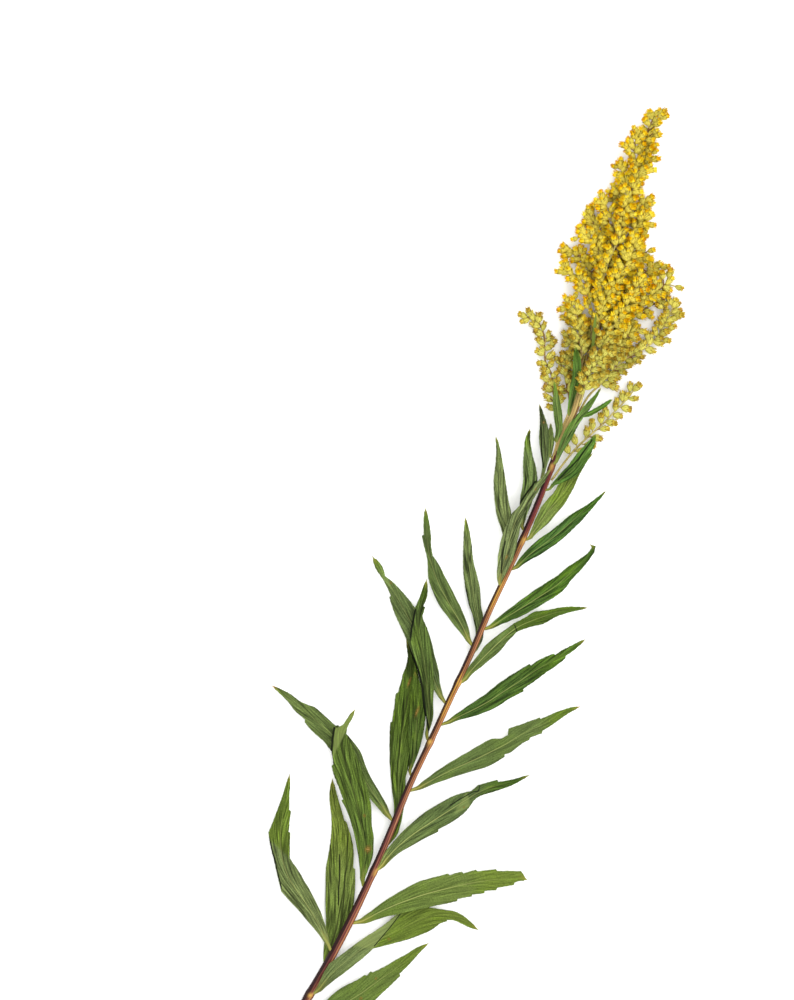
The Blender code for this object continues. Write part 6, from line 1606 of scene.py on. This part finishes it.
def head_form(draw):
    """One flower head that stands on its foot and looks along Z: bell, overlapping bracts, florets."""
    heap = Heap()
    # The bell's body, mark 0, takes the painted shade of the gaps between the bracts.
    add_turned(heap, BELL_PROFILE, BRACT, 0.0)
    add_turned(heap, CROWN_PROFILE, FLORET, 0.6)
    rim = np.arange(BELL_SIDES) - BELL_SIDES
    cap = np.stack([rim, np.roll(rim, -1), np.zeros(BELL_SIDES, dtype=int)], 1)
    heap.add([(0.0, 0.0, CROWN_PROFILE[-1][0] + 0.1)], cap, FLORET, [(0.0, 1.0, 0.6)])
    for row, (_, high, count, half_angle) in enumerate(BRACT_ROWS):
        for k in range(count):
            middle = 2 * math.pi * (k + 0.5 * row + draw.uniform(*BRACT_SHIFT)) / count
            reach = high + draw.uniform(*BRACT_REACH)
            half = half_angle * draw.uniform(*BRACT_SPAN)
            add_bract(heap, row, middle, reach, half, draw.uniform(*BRACT_FLARE))
    for k in range(FLORETS):
        add_floret(heap, k, draw)
    return heap.joined()


def gold_share(x, y):
    """How golden the plume is there: greener in its lower and right parts and at its tip."""
    def step(low, high, value):
        u = min(max((value - low) / (high - low), 0.0), 1.0)
        return u * u * (3 - 2 * u)
    golden = step(*GOLDEN_FROM, y) * (1 - GREEN_TIP_SHARE * step(*GREEN_TIP, y))
    right = step(*GREEN_RIGHT, x) * (1 - step(*GREEN_RIGHT_END, y))
    return golden * (1 - GREEN_RIGHT_SHARE * right)


def add_tube(heap, spots, radii, tone):
    """A thin round stalk through the spots."""
    spots = np.array(spots)
    ahead = units(np.gradient(spots, axis=0))
    side = units(np.cross(ahead, UP))
    other = np.cross(ahead, side)
    turns = 2 * math.pi * np.arange(TWIG_ROUND_SIDES) / TWIG_ROUND_SIDES
    points, place = [], []
    for i, spot in enumerate(spots):
        ring = np.outer(np.cos(turns), side[i]) + np.outer(np.sin(turns), other[i])
        points.append(spot + radii[i] * ring)
        place.append(np.stack([np.cos(turns), np.full(TWIG_ROUND_SIDES, i), np.sin(turns) + spot[1]], 1))
    triangles = grid_triangles(len(spots), TWIG_ROUND_SIDES, True)
    heap.add(np.concatenate(points), triangles, TWIG, np.concatenate(place), tone)


def add_small_leaf(heap, kind):
    """A narrow leaf that is folded along its middle, with an upper and a lower skin."""
    upper = []
    for x, y, z, half in SMALL_LEAF:
        upper += [(x - half, y, z), (x, y + half, z - SMALL_LEAF_FOLD), (x + half, y, z)]
    upper = np.array(upper)
    for lowered, flip in ((0.0, True), (SMALL_LEAF_THICKNESS, False)):
        skin = upper - np.array([0.0, 0.0, lowered])
        triangles = grid_triangles(len(SMALL_LEAF), 3, False, flip)
        heap.add(skin, triangles, kind, np.zeros((len(skin), 3)), SMALL_LEAF_TONE)


def place_extras(spray, route, own, others, seed, extra_share):
    """Small heads between the others of a spray, not in the leaves, the stem or another spray's heads."""
    draw = random.Random(EXTRA_SEED + seed)
    bells = [head_beads(head)[-1] for head in own]
    extras = []
    wanted = extra_share * len(own)
    for _ in range(int(EXTRA_TRIES * wanted)):
        if len(extras) >= wanted:
            break
        bare = spray["bare"] if route.at(0.0)[1] < COVERED_FROM else COVERED_BARE
        share = draw.uniform(bare, 1.0)
        spread = math.radians(draw.uniform(*EXTRA_SPREAD))
        lean = math.radians(draw.uniform(*EXTRA_LEAN))
        direction = head_direction(route, share, spread, lean, draw.choice((-1, 1)))
        middle = twig_middle(route, share)
        stalk = draw.uniform(0.0, EXTRA_STALK)
        if draw.random() < LONG_SHARE:
            stalk = draw.uniform(EXTRA_STALK, LONGEST_STALK)
            root_y = float(route.at(share)[1])
            if root_y > COVERED_FROM and draw.random() < BENT_SHARE:
                ahead = root_y + draw.uniform(*BENT_AHEAD)
                target = stem_place(ahead) + np.array([draw.uniform(-1, 1), 0.0, stem_radius(ahead) + 1.0])
                direction = unit(target - middle)
                reach = float(np.linalg.norm(target - middle))
                stalk = min(max(reach - BENT_SHORTER, 0.0), LONGEST_STALK)
        head = dict(root=middle - direction * ROOT_SINK, direction=direction, stalk=stalk,
                    size=draw.uniform(*EXTRA_SIZES), turn=draw.uniform(0, 2 * math.pi))
        beads = head_beads(head)
        if (is_above_floor(beads) and is_apart(beads[-1], bells, EXTRA_SPACING)
                and is_clear(beads, others, EXTRA_AIR)):
            extras.append(head)
            bells.append(beads[-1])
    return extras


def add_head(heap, head, form, draw):
    """A head on its stalk, from a form that is turned, squeezed and coloured for its place."""
    points, triangles, kinds, place, tone = form
    direction = head["direction"]
    side, other = head_sides(direction)
    cosine, sine = math.cos(head["turn"]), math.sin(head["turn"])
    axes = np.stack([cosine * side + sine * other, cosine * other - sine * side, direction])
    base = head["root"] + direction * head["stalk"]
    wide = head["size"] * draw.uniform(*HEAD_WIDTHS)
    squeezed = points * np.array([wide, wide * draw.uniform(*HEAD_FLATNESS), head["size"]])
    placed = base + squeezed @ axes
    placed[:, 2] = np.maximum(placed[:, 2], HEAD_LOWEST)
    gold = gold_share(*base[:2]) * draw.uniform(*GOLD_FACTORS)
    own = tone + np.array([draw.uniform(0, 1), 0.0, RIPE_SPREAD * draw.uniform(-1, 1)])
    own[:, 1] = min(max(gold, 0.0), 1.0)
    heap.add(placed, triangles, kinds, place, own)
    if head["stalk"] > SHORTEST_PEDICEL:
        bend = head["root"] + direction * head["stalk"] * 0.5 + np.array([0.0, 0.0, PEDICEL_BEND])
        radii = [PEDICEL_RADIUS * 1.15, PEDICEL_RADIUS, PEDICEL_RADIUS]
        add_tube(heap, [head["root"], bend, base + direction * 0.3], radii, (draw.uniform(0, 1), 0.0, 0.0))


def build_spray(name, spray, route, heads, forms, materials, green, number):
    """A twig with its heads, and the small heads between them, as one piece."""
    draw = np.random.default_rng(SPRAY_SEED + number)
    heap = Heap()
    shares = np.linspace(0.0, 1.0, max(4, int(route.length / TWIG_RINGS_APART)))
    spots = [route.at(share) for share in shares]
    spots[0] = spots[0] - unit(spots[1] - spots[0]) * FOOT_RUN
    radii = [TWIG_THICKNESS * twig_radius(spray, share) for share in shares]
    brown = min(draw.uniform(*TWIG_BROWN), PALE_TWIGS.get(name, 1.0))
    add_tube(heap, spots, radii, (brown, 0.0, 0.0))
    for head in heads:
        add_head(heap, head, forms[int(draw.integers(len(forms)))], draw)
    if name == SMALL_LEAF_OWNER:
        add_small_leaf(heap, len(materials))
        materials = [*materials, green]
    points, triangles, kinds, place, tone = heap.joined()
    attributes = {"place": place, "tone": tone}
    new_piece(name, points, triangles, kinds, materials, attributes)


def build_plant():
    build_stem(bark_material())
    beads = [("stem", (*p, stem_radius(p[1]))) for p in STEM_SAMPLES[::2]]
    green = leaf_material()
    for k, (name, leaf) in enumerate(LEAVES.items()):
        build_leaf(name, leaf, k, green)
        beads += [(name, bead) for bead in leaf_beads(leaf, float(k))]
    routes = {name: spray_route(spray) for name, spray in SPRAYS.items()}
    for name, spray in SPRAYS.items():
        beads += [(name, bead) for bead in twig_beads(spray, routes[name])]

    def others_of(name):
        return near_beads([bead for owner, bead in beads if owner != name], routes[name])

    heads = {}
    for seed, (name, spray) in enumerate(SPRAYS.items()):
        heads[name] = place_heads(spray, routes[name], others_of(name), seed)
        beads += [(name, bead) for head in heads[name] for bead in head_beads(head)]
    draw = np.random.default_rng(HEAD_SEED)
    forms = [head_form(draw) for _ in range(HEAD_KINDS)]
    materials = [twig_material(), bract_material(), floret_material()]
    for seed, (name, spray) in enumerate(SPRAYS.items()):
        extra_share = FEW_EXTRAS.get(name, EXTRA_SHARE)
        extras = place_extras(spray, routes[name], heads[name], others_of(name), seed, extra_share)
        beads += [(name, bead) for head in extras for bead in head_beads(head)]
        build_spray(name, spray, routes[name], heads[name] + extras, forms, materials, green, seed)


def build_camera():
    data = bpy.data.cameras.new("camera")
    data.lens = VIEW_LENS
    camera = new_object("camera", data)
    away = VIEW_HEIGHT * METRES * data.lens / data.sensor_width
    camera.location = ((VIEW_X - MIDDLE_X) * METRES, (VIEW_Y - MIDDLE_Y) * METRES, away)
    camera.rotation_euler = (0.0, 0.0, math.radians(VIEW_LEAN))
    data.clip_end = VIEW_END
    bpy.context.scene.camera = camera


def add_lamp(name, place, size, power):
    data = bpy.data.lights.new(name, "AREA")
    data.size = size
    data.energy = power
    lamp = new_object(name, data)
    lamp.location = place
    lamp.rotation_euler = Vector(place).to_track_quat("Z", "Y").to_euler()


def build_studio():
    """Pale ground, white surroundings and one broad soft lamp."""
    mesh = bpy.data.meshes.new("ground")
    corners = [(GROUND_HALF * x, GROUND_HALF * y, 0) for x, y in ((-1, -1), (1, -1), (1, 1), (-1, 1))]
    mesh.from_pydata(corners, [], [(0, 1, 2, 3)])
    mesh.materials.append(floor_material())
    ground = new_object("ground", mesh)
    world = bpy.data.worlds.new("surroundings")
    world.use_nodes = True
    background = world.node_tree.nodes["Background"].inputs
    background["Color"].default_value = (1.0, 1.0, 1.0, 1.0)
    background["Strength"].default_value = SURROUNDINGS
    bpy.context.scene.world = world
    add_lamp("key_lamp", KEY_PLACE, KEY_SIZE, KEY_POWER)
    bpy.context.scene.view_settings.view_transform = "Standard"


build_plant()
build_studio()
build_camera()
